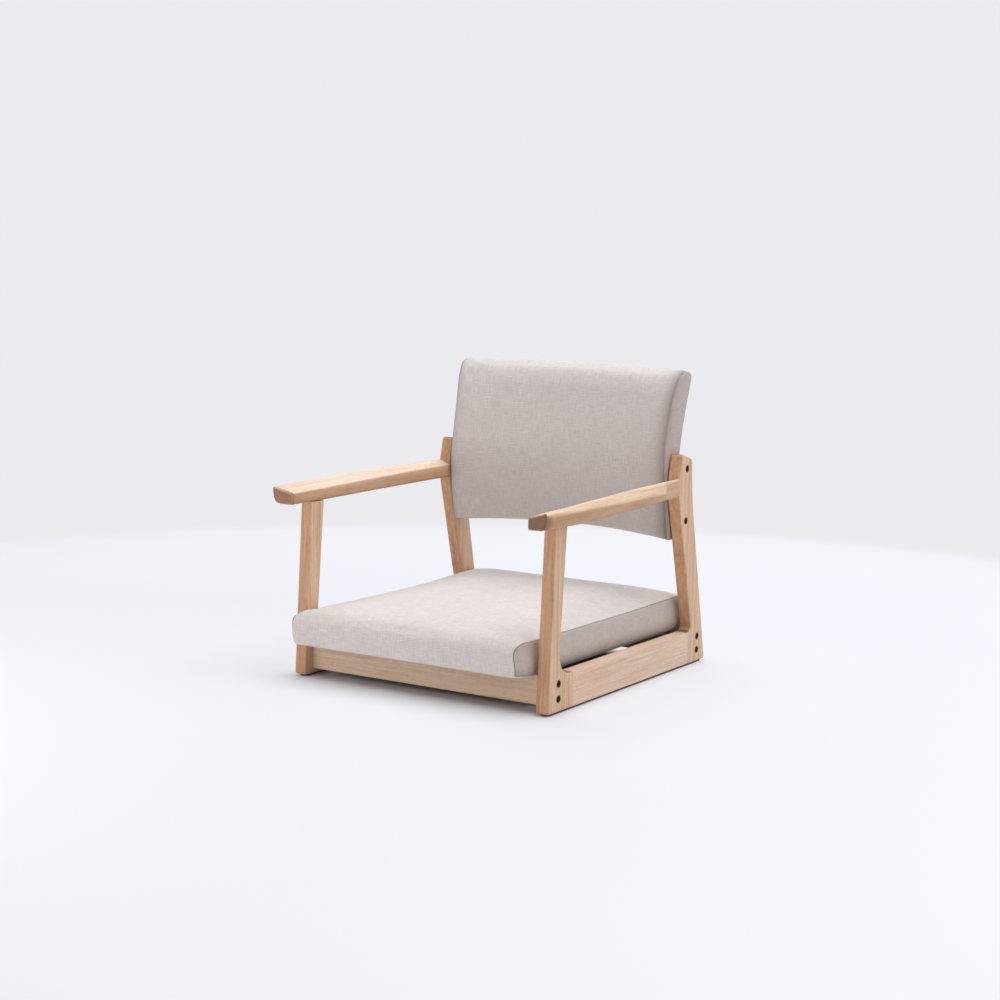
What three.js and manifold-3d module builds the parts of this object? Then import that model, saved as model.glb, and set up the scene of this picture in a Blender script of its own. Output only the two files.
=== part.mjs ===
// Low floor chair: two timber side frames joined by a front and a rear rail,
// with an upholstered seat on the rails and an upholstered back between the posts.
// Millimetres. X runs across the chair, Y from its front to its back, Z up.
// Right means +X, the viewer's right when the chair is seen from the front.
import * as THREE from "three";
import { mergeVertices } from "three/addons/utils/BufferGeometryUtils.js";
import Module from "manifold-3d";

const wasm = await Module();
wasm.setup();

// Whole frame
const frameWidth = 524;
const footDepth = 565;
const frameThickness = 24;
const arris = 3;
const fitGap = 0.3;
const cutOverrun = 2;

// Felt strip under each side frame
const feltThickness = 3;
const feltWidth = 18;
const feltEndInset = 7;

// Side frame outline, seen from the side
const railTop = 63;
const footRadius = 4;
const armBottom = 310;
const legLean = 17;
const legFootDepth = 28;
const legTopDepth = 35;
const legFillet = 34;
const postFillet = 10;
const jointLand = 11;
const postRailSetback = 56;
const postButtSetback = 122;
const postBendSetback = 66;
const postBendHeight = 305;
const postBendRadius = 420;
const postTopSetback = 72;
const postTopDepth = 40;
const postTopRearRise = 79;
const postTopSlopeRise = 11;
const postTopRearHeight = postBendHeight + postTopRearRise;
const postTopFrontHeight = postTopRearHeight + postTopSlopeRise;
const postFrontTopRadius = 6;
const postRearTopRadius = 9;

// Armrest
const armTipAhead = 38;
const armTipSkew = 5;
const armTipRound = 3;
const armOverhang = 21;
const armInnerHeight = 25;
const armRidgeHeight = 34.5;
const armEdgeHeight = 25.5;
const armRise = 7;
const armCornerRound = 4;
const armTipCornerRound = 10;

// Loose tenons inside the glued joints
const tenonThickness = 10;
const railTenonWidth = 30;
const railTenonLength = 40;
const armTenonWidth = 18;
const armTenonLength = 32;

// Front and rear rails
const railThickness = 24;
const railBottom = 12;
const frontRailSetback = 21;
const rearRailSetback = 22;
const railArris = 2.5;

// Bolts through the side frames
const boltDiameter = 6;
const boltHeadDiameter = 10;
const boltHeadHeight = 5.5;
const boltSocketWidth = 5;
const boltSocketDepth = 3;
const boltRecessDiameter = 11;
const boltRecessDepth = 12;
const boltSpacing = 25.4;
const frameBoltLength = 50;
const boltClearance = 0.5;
const barrelNutDiameter = 10;
const barrelNutLength = 14;
const barrelNutFromEnd = 28;
const barrelNutSkin = 5;

// Seat
const seatOverhang = 31;
const seatRearInset = 18;
const seatSideGap = 8;
const seatSeamHeight = 57;
const seatCrown = 12;
const seatCornerRadius = 16;
const seatFrontRound = 24;
const seatSideRound = 6;
const seatBottomRound = 6;
const seatDrawIn = 3;
const seatBulge = 1.5;
const seatBoardThickness = 12;
const seatBoardInset = 7;
const seatBoardRadius = 12;
const dustCoverThickness = 0.8;
const dustCoverInset = 3;
const seatScrewSpan = 280;
const seatScrewGrip = 26;
const seatScrewHeadDiameter = 12;
const seatScrewHeadHeight = 4;
const seatScrewRecessDiameter = 13;
const teeNutFlangeDiameter = 18;
const teeNutFlangeThickness = 1.5;
const teeNutBarrelDiameter = 8;
const teeNutBarrelLength = 9;

// Back
const backSideGap = 2.5;
const backBottom = 232;
const backTop = 543;
const backRearSetback = 72;
const backBendHeight = 385;
const backLeanRun = 33;
const backThickness = 55;
const backHollow = 28;
const backArch = 8;
const backTopFlare = 8;
const backEndRound = 4;
const backRearPadThickness = 14.3;
const backCoreThickness = 18;
const backCoreSideCover = 5;
const backCoreTopCover = 24;
const backCoreBottomCover = 16;
const backBoltSetback = 93;
const backBoltLowHeight = 272;
const backBoltHighHeight = 367;
const backBoltLength = 34;
const insertDiameter = 8.5;
const insertLength = 13;

// How finely curves are divided
const boreSides = 10;
const cornerSteps = 4;
const filletSteps = 7;
const arrisSteps = 2;

// Places that follow from the sizes
const outerX = frameWidth / 2;
const innerX = outerX - frameThickness;
const frameMiddleX = outerX - frameThickness / 2;
const legTop = armBottom - fitGap;
const armEndY = footDepth - postButtSetback;
const armButtBottom = armBottom + armRise;
const armButtTop = armButtBottom + armRidgeHeight;
const frontRailY = frontRailSetback + railThickness / 2;
const rearRailY = footDepth - rearRailSetback - railThickness / 2;
const railMiddleZ = (railBottom + railTop) / 2;
const backBoltY = footDepth - backBoltSetback;

// Materials
const oak = new THREE.MeshStandardMaterial({ color: 0xd3b493, roughness: 0.55, flatShading: true });
const plywood = new THREE.MeshStandardMaterial({ color: 0xc9a679, roughness: 0.75, flatShading: true });
const beech = new THREE.MeshStandardMaterial({ color: 0xc79c6c, roughness: 0.8, flatShading: true });
const linen = new THREE.MeshStandardMaterial({ color: 0xcfc9c2, roughness: 0.95, flatShading: true });
const lining = new THREE.MeshStandardMaterial({ color: 0x2b2a2a, roughness: 1, flatShading: true });
const felt = new THREE.MeshStandardMaterial({ color: 0x3a3b3d, roughness: 1, flatShading: true });
const blackSteel = new THREE.MeshStandardMaterial({
  color: 0x2e2420, roughness: 0.5, metalness: 0.8, flatShading: true,
});
const zincSteel = new THREE.MeshStandardMaterial({
  color: 0xb9bcc0, roughness: 0.35, metalness: 1, flatShading: true,
});

// Turns a shape drawn in the Y-Z plane so that it is extruded along +X.
const sideways = new THREE.Matrix4().makeBasis(
  new THREE.Vector3(0, 1, 0),
  new THREE.Vector3(0, 0, 1),
  new THREE.Vector3(1, 0, 0),
);

function closedMesh(geometry) {
  const bare = geometry.index ? geometry.toNonIndexed() : geometry.clone();
  bare.deleteAttribute("normal");
  bare.deleteAttribute("uv");
  return mergeVertices(bare);
}

function manifoldOf(geometry) {
  const merged = closedMesh(geometry);
  const vertProperties = new Float32Array(merged.attributes.position.array);
  const triVerts = new Uint32Array(merged.index.array);
  return new wasm.Manifold(new wasm.Mesh({ numProp: 3, vertProperties, triVerts }));
}

function geometryOf(manifold) {
  const result = manifold.getMesh();
  const geometry = new THREE.BufferGeometry();
  geometry.setAttribute("position", new THREE.BufferAttribute(new Float32Array(result.vertProperties), 3));
  geometry.setIndex(Array.from(result.triVerts));
  return geometry;
}

function cut(geometry, cutters) {
  let left = manifoldOf(geometry);
  for (const cutter of cutters) {
    left = left.subtract(manifoldOf(cutter));
  }
  return geometryOf(left);
}

function block(low, high) {
  const size = high.clone().sub(low);
  const centre = high.clone().add(low).multiplyScalar(1 / 2);
  return new THREE.BoxGeometry(size.x, size.y, size.z).translate(centre.x, centre.y, centre.z);
}

// A cylinder that runs from one point to another along X, Y or Z.
function rod(from, to, diameter, sides = boreSides) {
  const along = to.clone().sub(from);
  const rodGeometry = new THREE.CylinderGeometry(diameter / 2, diameter / 2, along.length(), sides);
  const turn = new THREE.Quaternion().setFromUnitVectors(new THREE.Vector3(0, 1, 0), along.normalize());
  const middle = from.clone().add(to).multiplyScalar(1 / 2);
  return rodGeometry.applyQuaternion(turn).translate(middle.x, middle.y, middle.z);
}

// Rounds each corner of a closed outline; a corner is [point, radius, steps].
function roundedOutline(corners) {
  const outline = [];
  corners.forEach(([point, radius, steps], index) => {
    if (!radius) {
      outline.push(point);
      return;
    }
    const before = corners.at(index - 1)[0];
    const after = corners[(index + 1) % corners.length][0];
    const toBefore = before.clone().sub(point).normalize();
    const toAfter = after.clone().sub(point).normalize();
    const halfAngle = Math.acos(THREE.MathUtils.clamp(toBefore.dot(toAfter), -1, 1)) / 2;
    const reach = radius / Math.tan(halfAngle);
    const bisector = toBefore.clone().add(toAfter).normalize();
    const centre = point.clone().addScaledVector(bisector, radius / Math.sin(halfAngle));
    const start = point.clone().addScaledVector(toBefore, reach).sub(centre);
    const end = point.clone().addScaledVector(toAfter, reach).sub(centre);
    const turn = Math.atan2(start.cross(end), start.dot(end));
    for (let step = 0; step <= steps; step += 1) {
      const arm = start.clone().rotateAround(new THREE.Vector2(), (turn * step) / steps);
      outline.push(centre.clone().add(arm));
    }
  });
  return outline;
}

function roundedRectangle(lowX, lowY, highX, highY, radius, steps = cornerSteps) {
  return roundedOutline([
    [new THREE.Vector2(lowX, lowY), radius, steps],
    [new THREE.Vector2(highX, lowY), radius, steps],
    [new THREE.Vector2(highX, highY), radius, steps],
    [new THREE.Vector2(lowX, highY), radius, steps],
  ]);
}

// Triangles that fill a ring of so many points, round the same way as the ring:
// a fan about a hub, or a strip across a long thin ring from its ends' midpoints.
function fanFaces(count, first, hub) {
  const faces = [];
  for (let step = 0; step < count; step += 1) {
    faces.push([hub, first + step, first + ((step + 1) % count)]);
  }
  return faces;
}

function stripFaces(count, first) {
  const faces = [];
  for (let near = 0, far = count - 1; near + 1 < far; near += 1, far -= 1) {
    faces.push([first + near, first + near + 1, first + far]);
    if (near + 1 < far - 1) {
      faces.push([first + near + 1, first + far - 1, first + far]);
    }
  }
  return faces;
}

// A closed skin over rings of equally many points, filled at both ends.
function loft(rings, thinRings = false) {
  const count = rings[0].length;
  const points = rings.flat();
  const faces = [];
  for (let ring = 0; ring + 1 < rings.length; ring += 1) {
    for (let step = 0; step < count; step += 1) {
      const next = (step + 1) % count;
      const lower = ring * count;
      const upper = lower + count;
      faces.push([lower + step, lower + next, upper + next]);
      faces.push([lower + step, upper + next, upper + step]);
    }
  }
  const fill = (ring) => {
    const first = ring * count;
    if (thinRings) {
      return stripFaces(count, first);
    }
    const centre = new THREE.Vector3();
    rings[ring].forEach((point) => centre.addScaledVector(point, 1 / count));
    return fanFaces(count, first, points.push(centre) - 1);
  };
  fill(0).forEach(([a, b, c]) => faces.push([a, c, b]));
  fill(rings.length - 1).forEach((face) => faces.push(face));
  let volume = 0;
  faces.forEach(([a, b, c]) => {
    volume += points[a].dot(points[b].clone().cross(points[c]));
  });
  const outward = volume > 0 ? faces : faces.map(([a, b, c]) => [a, c, b]);
  const geometry = new THREE.BufferGeometry().setFromPoints(points);
  geometry.setIndex(outward.flat());
  return geometry;
}

// Extrudes an outline in the Y-Z plane along X, with rounded arrises if asked.
function sideExtrusion(outline, fromX, toX, round = 0) {
  const geometry = new THREE.ExtrudeGeometry(new THREE.Shape(outline), {
    depth: toX - fromX - 2 * round,
    bevelEnabled: round > 0,
    bevelThickness: round,
    bevelSize: round,
    bevelOffset: -round,
    bevelSegments: arrisSteps,
  });
  return geometry.translate(0, 0, fromX + round).applyMatrix4(sideways);
}

// A loose tenon: a flat bar with half-round edges, from one point to another.
// Its width lies along widthAxis and its thickness across both.
function tenonBar(from, to, width, widthAxis, grow = 0) {
  const along = to.clone().sub(from);
  const length = along.length() + 2 * grow;
  const halfWidth = width / 2 + grow;
  const halfThickness = tenonThickness / 2 + grow;
  const outline = roundedRectangle(-halfWidth, -halfThickness, halfWidth, halfThickness, halfThickness);
  const bar = new THREE.ExtrudeGeometry(new THREE.Shape(outline), { depth: length, bevelEnabled: false });
  const direction = along.normalize();
  const across = direction.clone().cross(widthAxis);
  const place = new THREE.Matrix4().makeBasis(widthAxis, across, direction);
  const start = from.clone().addScaledVector(direction, -grow);
  return bar.applyMatrix4(place).translate(start.x, start.y, start.z);
}

// Edges of the leg and the post that other places are measured from
function legRearAt(height) {
  const share = (height - feltThickness) / (armBottom - feltThickness);
  return THREE.MathUtils.lerp(legFootDepth, legLean + legTopDepth, share);
}

const legJointY = legRearAt(railTop) + legFillet + jointLand;
const postJointY = footDepth - postRailSetback - postFillet - jointLand;
const upAxis = new THREE.Vector3(0, 0, 1);
const backAxis = new THREE.Vector3(0, 1, 0);

function sideFrameOutline() {
  const legOverrun = 2 * arris;
  const point = (y, z) => new THREE.Vector2(y, z);
  return roundedOutline([
    [point(0, feltThickness), footRadius, cornerSteps],
    [point(footDepth, feltThickness), footRadius, cornerSteps],
    [point(footDepth - postBendSetback, postBendHeight), postBendRadius, cornerSteps],
    [point(footDepth - postTopSetback, postTopRearHeight), postRearTopRadius, cornerSteps],
    [point(footDepth - postTopSetback - postTopDepth, postTopFrontHeight), postFrontTopRadius, cornerSteps],
    [point(armEndY, armButtTop + fitGap)],
    [point(armEndY, armButtBottom - fitGap)],
    [point(footDepth - postRailSetback, railTop), postFillet, cornerSteps],
    [point(legRearAt(railTop), railTop), legFillet, filletSteps],
    [point(legRearAt(legTop + legOverrun), legTop + legOverrun)],
    [point(legLean, legTop + legOverrun)],
  ]);
}

// Where the bolts pass through each side frame: [name, y, z]
const frameBolts = [
  ["front_upper", frontRailY, railMiddleZ + boltSpacing / 2],
  ["front_lower", frontRailY, railMiddleZ - boltSpacing / 2],
  ["rear_upper", rearRailY, railMiddleZ + boltSpacing / 2],
  ["rear_lower", rearRailY, railMiddleZ - boltSpacing / 2],
];
const backBolts = [
  ["upper", backBoltY, backBoltHighHeight],
  ["lower", backBoltY, backBoltLowHeight],
];

// The clearance hole and the recess for a bolt head through the side frame.
function boltHole(y, z) {
  const outside = new THREE.Vector3(outerX + cutOverrun, y, z);
  const inside = new THREE.Vector3(innerX - cutOverrun, y, z);
  const seat = new THREE.Vector3(outerX - boltRecessDepth, y, z);
  return [
    rod(inside, outside, boltDiameter + 2 * boltClearance),
    rod(seat, outside, boltRecessDiameter, boreSides + cornerSteps),
  ];
}

// The four loose tenons of one side frame: [name, from, to, width, width axis]
const tenonTopZ = armBottom + armTenonLength / 2;
const tenonArmZ = armButtBottom + armRidgeHeight / 2;
const tenonRailZ = (feltThickness + railTop) / 2;
const legTopY = legLean + legTopDepth / 2;
const tenons = [
  [
    "tenon_leg_rail",
    new THREE.Vector3(frameMiddleX, legJointY - railTenonLength / 2, tenonRailZ),
    new THREE.Vector3(frameMiddleX, legJointY + railTenonLength / 2, tenonRailZ),
    railTenonWidth,
    upAxis,
  ],
  [
    "tenon_rail_post",
    new THREE.Vector3(frameMiddleX, postJointY - railTenonLength / 2, tenonRailZ),
    new THREE.Vector3(frameMiddleX, postJointY + railTenonLength / 2, tenonRailZ),
    railTenonWidth,
    upAxis,
  ],
  [
    "tenon_leg_arm",
    new THREE.Vector3(frameMiddleX, legTopY, tenonTopZ - armTenonLength),
    new THREE.Vector3(frameMiddleX, legTopY, tenonTopZ),
    armTenonWidth,
    backAxis,
  ],
  [
    "tenon_arm_post",
    new THREE.Vector3(frameMiddleX, armEndY - armTenonLength / 2, tenonArmZ),
    new THREE.Vector3(frameMiddleX, armEndY + armTenonLength / 2, tenonArmZ),
    armTenonWidth,
    upAxis,
  ],
];
const mortises = tenons.map(([, from, to, width, axis]) => tenonBar(from, to, width, axis, fitGap));

function sideFramePieces() {
  const blank = sideExtrusion(sideFrameOutline(), innerX, outerX, arris);
  const wide = (lowY, highY, lowZ, highZ) => block(
    new THREE.Vector3(innerX - cutOverrun, lowY, lowZ),
    new THREE.Vector3(outerX + cutOverrun, highY, highZ),
  );
  const past = footDepth + cutOverrun;
  const above = postTopFrontHeight + armBottom;
  const splitY = (legJointY + armEndY) / 2;
  const railCeiling = railTop + fitGap;
  const holes = (list) => list.flatMap(([, y, z]) => boltHole(y, z));
  const leg = cut(blank, [
    wide(legJointY - fitGap / 2, past, 0, above),
    wide(-cutOverrun, splitY, legTop, above),
    mortises[0],
    mortises[2],
    ...holes(frameBolts.slice(0, 2)),
  ]);
  const rail = cut(blank, [
    wide(-cutOverrun, legJointY + fitGap / 2, 0, above),
    wide(postJointY - fitGap / 2, past, 0, above),
    wide(-cutOverrun, past, railCeiling, above),
    mortises[0],
    mortises[1],
  ]);
  const post = cut(blank, [
    wide(-cutOverrun, splitY, 0, above),
    wide(-cutOverrun, postJointY + fitGap / 2, 0, railCeiling),
    mortises[1],
    mortises[3],
    ...holes(frameBolts.slice(2)),
    ...holes(backBolts),
  ]);
  return { front_leg: leg, side_rail: rail, rear_post: post };
}

// Armrest: stations from the tip to the post. Each row gives, as shares, the place
// along the arm, how far the underside, the outer edge and the ridge stand out past
// the frame, how far the underside lifts at its inner and outer edges, and the heights
// of the inner face, the outer edge and the ridge.
const armStationShares = [
  { along: 0, under: 0.6, edge: 0.79, ridge: 0.67, rise: -0.2, fall: 0, inner: 0.83, side: 1, top: 0.9 },
  { along: 0.1, under: 0.74, edge: 0.94, ridge: 0.71, rise: 0, fall: 0, inner: 0.84, side: 0.94, top: 0.93 },
  { along: 0.2, under: 0.69, edge: 1, ridge: 0.67, rise: 0, fall: 0, inner: 0.88, side: 0.9, top: 0.98 },
  { along: 0.31, under: 0.53, edge: 0.93, ridge: 0.57, rise: 0.2, fall: -0.2, inner: 0.9, side: 0.8, top: 0.99 },
  { along: 0.42, under: 0.38, edge: 0.83, ridge: 0.48, rise: 0.36, fall: -0.1, inner: 0.92, side: 0.72, top: 1 },
  { along: 0.54, under: 0.24, edge: 0.69, ridge: 0.33, rise: 0.56, fall: 0.05, inner: 0.93, side: 0.61, top: 1 },
  { along: 0.66, under: 0.12, edge: 0.55, ridge: 0.19, rise: 0.72, fall: 0.2, inner: 0.95, side: 0.53, top: 1 },
  { along: 0.79, under: 0.05, edge: 0.4, ridge: 0.07, rise: 0.88, fall: 0.5, inner: 0.97, side: 0.46, top: 0.99 },
  { along: 0.875, under: 0.02, edge: 0.3, ridge: -0.05, rise: 0.94, fall: 0.75, inner: 0.98, side: 0.42, top: 0.99 },
  { along: 0.9, under: 0, edge: 0, ridge: 0, rise: 0.96, fall: 0.9, inner: 0.99, side: 0.67, top: 1 },
  { along: 1, under: 0, edge: 0, ridge: 0, rise: 1, fall: 1, inner: 1, side: 0.67, top: 1 },
];

// Softens each corner of a section with a short curve of three points.
function softSection(corners) {
  return corners.flatMap(([corner, round], index) => {
    const before = corners.at(index - 1)[0];
    const after = corners[(index + 1) % corners.length][0];
    const reachShare = 0.45;
    const towards = (other) => {
      const line = other.clone().sub(corner);
      const reach = Math.min(round, line.length() * reachShare);
      return corner.clone().addScaledVector(line.normalize(), reach);
    };
    const start = towards(before);
    const end = towards(after);
    const middle = start.clone().add(end).multiplyScalar(1 / 2).lerp(corner, 1 / 2);
    return [start, middle, end];
  });
}

// One section of the armrest, drawn in all round by shrink and moved back by setback.
function armSection(station, shrink = 0, setback = 0) {
  const length = armEndY - fitGap + armTipAhead;
  const y = station.along * length - armTipAhead + setback;
  const low = armBottom + station.rise * armRise + shrink;
  const outX = (share) => outerX + share * armOverhang - shrink;
  const tipShare = Math.max(0, 1 - station.along / armStationShares[2].along);
  const skewed = (x) => y - (tipShare * armTipSkew * (x - frameMiddleX)) / frameThickness;
  const corner = (x, z) => new THREE.Vector3(x, skewed(x), z);
  const underRound = THREE.MathUtils.lerp(armCornerRound, armTipCornerRound, tipShare);
  return softSection([
    [corner(innerX + shrink, low), armCornerRound],
    [corner(outX(station.under), armBottom + station.fall * armRise + shrink), underRound],
    [corner(outX(station.edge), low + station.side * armEdgeHeight - 2 * shrink), armCornerRound],
    [corner(outX(station.ridge), low + station.top * armRidgeHeight - 2 * shrink), armCornerRound],
    [corner(innerX + shrink, low + station.inner * armInnerHeight - 2 * shrink), armCornerRound],
  ]);
}

function armrest() {
  const tip = armStationShares[0];
  const rings = armStationShares.map((station) => armSection(station));
  rings[0] = armSection(tip, 0, armTipRound);
  return cut(loft([armSection(tip, armTipRound), ...rings]), [mortises[2], mortises[3]]);
}

// Socket-head bolt along +X: the underside of its head is at x = 0 and its tip at -length.
function bolt(length, headDiameter, headHeight) {
  const profile = [
    new THREE.Vector2(0, 0),
    new THREE.Vector2(boltDiameter / 2, 0),
    new THREE.Vector2(boltDiameter / 2, length),
    new THREE.Vector2(headDiameter / 2, length),
    new THREE.Vector2(headDiameter / 2, length + headHeight),
    new THREE.Vector2(0, length + headHeight),
  ];
  const turned = new THREE.LatheGeometry(profile, boreSides).translate(0, -length, 0);
  const socketSides = 6;
  const socket = new THREE.CylinderGeometry(
    boltSocketWidth / 2, boltSocketWidth / 2, boltSocketDepth + cutOverrun, socketSides,
  );
  socket.translate(0, headHeight - boltSocketDepth / 2 + cutOverrun / 2, 0);
  return cut(turned, [socket]).rotateZ(-Math.PI / 2);
}

// A ring or flanged sleeve turned about Y from a closed profile of [radius, height].
function turnedSleeve(profile) {
  const points = profile.map(([radius, height]) => new THREE.Vector2(radius, height));
  return new THREE.LatheGeometry([...points, points[0].clone()], boreSides);
}

const threadBore = boltDiameter + 2 * fitGap;
const barrelNutX = innerX - fitGap - barrelNutFromEnd;

function barrelNut() {
  const half = barrelNutLength / 2;
  const body = rod(new THREE.Vector3(0, -half, 0), new THREE.Vector3(0, half, 0), barrelNutDiameter);
  const reach = barrelNutDiameter / 2 + cutOverrun;
  return cut(body, [rod(new THREE.Vector3(-reach, 0, 0), new THREE.Vector3(reach, 0, 0), threadBore)]);
}

function feltStrip() {
  const outline = roundedRectangle(
    frameMiddleX - feltWidth / 2, feltEndInset, frameMiddleX + feltWidth / 2, footDepth - feltEndInset,
    feltWidth / 2,
  );
  const shape = new THREE.Shape(outline);
  return new THREE.ExtrudeGeometry(shape, { depth: feltThickness - fitGap, bevelEnabled: false });
}

// Front or rear rail, with its bolt holes, barrel-nut holes and seat-screw holes.
// The nut holes open on the rail's hidden face: inward is +1 for the front rail.
const seatScrewSeatZ = railTop - seatScrewGrip;

function crossRail(middleY, inward) {
  const halfY = railThickness / 2;
  const endX = innerX - fitGap;
  const outline = roundedRectangle(middleY - halfY, railBottom, middleY + halfY, railTop, railArris);
  const cutters = [];
  for (const side of [-1, 1]) {
    for (const offset of [-boltSpacing / 2, boltSpacing / 2]) {
      const z = railMiddleZ + offset;
      const deep = side * (outerX - boltRecessDepth - frameBoltLength - cutOverrun);
      cutters.push(rod(
        new THREE.Vector3(deep, middleY, z),
        new THREE.Vector3(side * (endX + cutOverrun), middleY, z),
        boltDiameter + 2 * boltClearance,
      ));
      cutters.push(rod(
        new THREE.Vector3(side * barrelNutX, middleY - inward * (halfY - barrelNutSkin), z),
        new THREE.Vector3(side * barrelNutX, middleY + inward * (halfY + cutOverrun), z),
        barrelNutDiameter + 2 * fitGap,
      ));
    }
    const screwX = (side * seatScrewSpan) / 2;
    cutters.push(rod(
      new THREE.Vector3(screwX, middleY, railBottom - cutOverrun),
      new THREE.Vector3(screwX, middleY, railTop + cutOverrun),
      boltDiameter + 2 * boltClearance,
    ));
    cutters.push(rod(
      new THREE.Vector3(screwX, middleY, railBottom - cutOverrun),
      new THREE.Vector3(screwX, middleY, seatScrewSeatZ),
      seatScrewRecessDiameter,
    ));
  }
  return cut(sideExtrusion(outline, -endX, endX), cutters);
}

// Seat: everything is stacked up from the top of the rails.
const seatBaseZ = railTop + fitGap;
const seatHalfWidth = innerX - seatSideGap;
const seatFrontY = -seatOverhang;
const seatRearY = footDepth - seatRearInset;
const boardBottomZ = seatBaseZ + dustCoverThickness + fitGap;
const boardTopZ = boardBottomZ + seatBoardThickness;
const seatScrewXs = [-seatScrewSpan / 2, seatScrewSpan / 2];
const seatScrewYs = [frontRailY, rearRailY];

// Plan outline of the seat, drawn in by so much at the front, the back and the sides.
function seatPlan(insets, radius) {
  const halfWidth = seatHalfWidth - insets.side;
  return roundedRectangle(
    -halfWidth, seatFrontY + insets.front, halfWidth, seatRearY - insets.rear, radius,
  );
}

// Seat cushion: rings from the flat base, up the boxed sides, over the waterfall
// front and in over the crown. Each row gives the height and the insets as shares.
const seatRingShares = [
  { up: 0, base: 1, front: 0, side: 0, crown: 0 },
  { up: 0.05, base: 0.35, front: 0, side: 0, crown: 0 },
  { up: 0.14, base: 0, front: 0, side: 0, crown: 0 },
  { up: 0.36, base: 0, front: -0.04, side: -0.25, crown: 0 },
  { up: 0.58, base: 0, front: -0.04, side: -0.25, crown: 0 },
  { up: 0.74, base: 0, front: 0.03, side: -0.12, crown: 0 },
  { up: 0.88, base: 0, front: 0.16, side: 0, crown: 0 },
  { up: 0.97, base: 0, front: 0.38, side: 0.15, crown: 0 },
  { up: 1, base: 0, front: 0.68, side: 0.8, crown: 0.1 },
  { up: 1, base: 0, front: 1.15, side: 1.6, crown: 0.42 },
  { up: 1, base: 0, front: 1.9, side: 3, crown: 0.7 },
  { up: 1, base: 0, front: 3.2, side: 6, crown: 0.88 },
  { up: 1, base: 0, front: 5.2, side: 12.5, crown: 0.97 },
  { up: 1, base: 0, front: 7.5, side: 22, crown: 1 },
];
const planSideSteps = 5;

// Adds points along the straight sides of a plan outline and pulls them inwards.
function drawnInRing(outline, z, pull) {
  const ring = [];
  const middleY = (seatFrontY + seatRearY) / 2;
  const span = seatRearY - seatFrontY;
  outline.forEach((point, index) => {
    const next = outline[(index + 1) % outline.length];
    const straight = index % (cornerSteps + 1) === cornerSteps;
    const steps = straight ? planSideSteps : 1;
    for (let step = 0; step < steps; step += 1) {
      const share = step / steps;
      const spot = point.clone().lerp(next, share);
      const inwards = pull * Math.sin(Math.PI * share);
      const onSide = Math.abs(next.x - point.x) < Math.abs(next.y - point.y);
      if (straight && onSide) {
        spot.x -= Math.sign(spot.x) * inwards;
      } else if (straight) {
        spot.y -= (Math.sign(spot.y - middleY) * inwards * seatHalfWidth) / span;
      }
      ring.push(new THREE.Vector3(spot.x, spot.y, z));
    }
  });
  return ring;
}

function seatCushion() {
  const rings = seatRingShares.map((share) => {
    const edge = share.base * seatBottomRound;
    const side = edge + share.side * seatSideRound;
    const insets = { front: edge + share.front * seatFrontRound, rear: side, side };
    const radius = seatCornerRadius - Math.min(edge, seatCornerRadius / 2) + Math.max(0, side - edge) / 2;
    const z = seatBaseZ + share.up * seatSeamHeight + share.crown * seatCrown;
    const pull = share.base ? 0 : seatDrawIn * (1 - share.crown) - (share.side < 0 ? seatBulge : 0);
    return drawnInRing(seatPlan(insets, radius), z, pull);
  });
  const rest = seatBoardInset - fitGap;
  const recess = new THREE.ExtrudeGeometry(
    new THREE.Shape(seatPlan({ front: rest, rear: rest, side: rest }, seatBoardRadius)),
    { depth: boardTopZ + fitGap - seatBaseZ + cutOverrun, bevelEnabled: false },
  ).translate(0, 0, seatBaseZ - cutOverrun);
  const pockets = seatScrewXs.flatMap((x) => seatScrewYs.map((y) => rod(
    new THREE.Vector3(x, y, boardTopZ),
    new THREE.Vector3(x, y, boardTopZ + teeNutFlangeThickness + 2 * fitGap),
    teeNutFlangeDiameter + 2 * fitGap,
  )));
  return cut(loft(rings), [recess, ...pockets]);
}

// A flat sheet or board under the seat, with its four screw holes.
function seatPanel(inset, bottomZ, thickness, holeDiameter) {
  const plan = seatPlan({ front: inset, rear: inset, side: inset }, seatBoardRadius);
  const panel = new THREE.ExtrudeGeometry(new THREE.Shape(plan), { depth: thickness, bevelEnabled: false });
  const holes = seatScrewXs.flatMap((x) => seatScrewYs.map((y) => rod(
    new THREE.Vector3(x, y, bottomZ - cutOverrun),
    new THREE.Vector3(x, y, bottomZ + thickness + cutOverrun),
    holeDiameter,
  )));
  return cut(panel.translate(0, 0, bottomZ), holes);
}

function teeNut() {
  const bore = threadBore / 2;
  const sleeve = turnedSleeve([
    [bore, -teeNutBarrelLength],
    [teeNutBarrelDiameter / 2, -teeNutBarrelLength],
    [teeNutBarrelDiameter / 2, fitGap],
    [teeNutFlangeDiameter / 2, fitGap],
    [teeNutFlangeDiameter / 2, teeNutFlangeThickness + fitGap],
    [bore, teeNutFlangeThickness + fitGap],
  ]);
  return sleeve.rotateX(Math.PI / 2);
}

// Back: every layer follows one hollow, leaning surface. The depth of a point is
// measured forward from the back's rear face.
const backHeight = backTop - backBottom;
const backHalfWidth = innerX - backSideGap;
const backCoreHalfWidth = backHalfWidth - backCoreSideCover;
const backRearY = footDepth - backRearSetback;

function backPoint(x, height, depth) {
  const across = x / backHalfWidth;
  const hollow = backHollow * Math.max(0, 1 - across * across);
  const above = Math.max(0, height - backBendHeight);
  const lean = (backLeanRun * above) / (backTop - backBendHeight);
  return new THREE.Vector3(x, backRearY + hollow + lean - depth, height);
}

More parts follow.
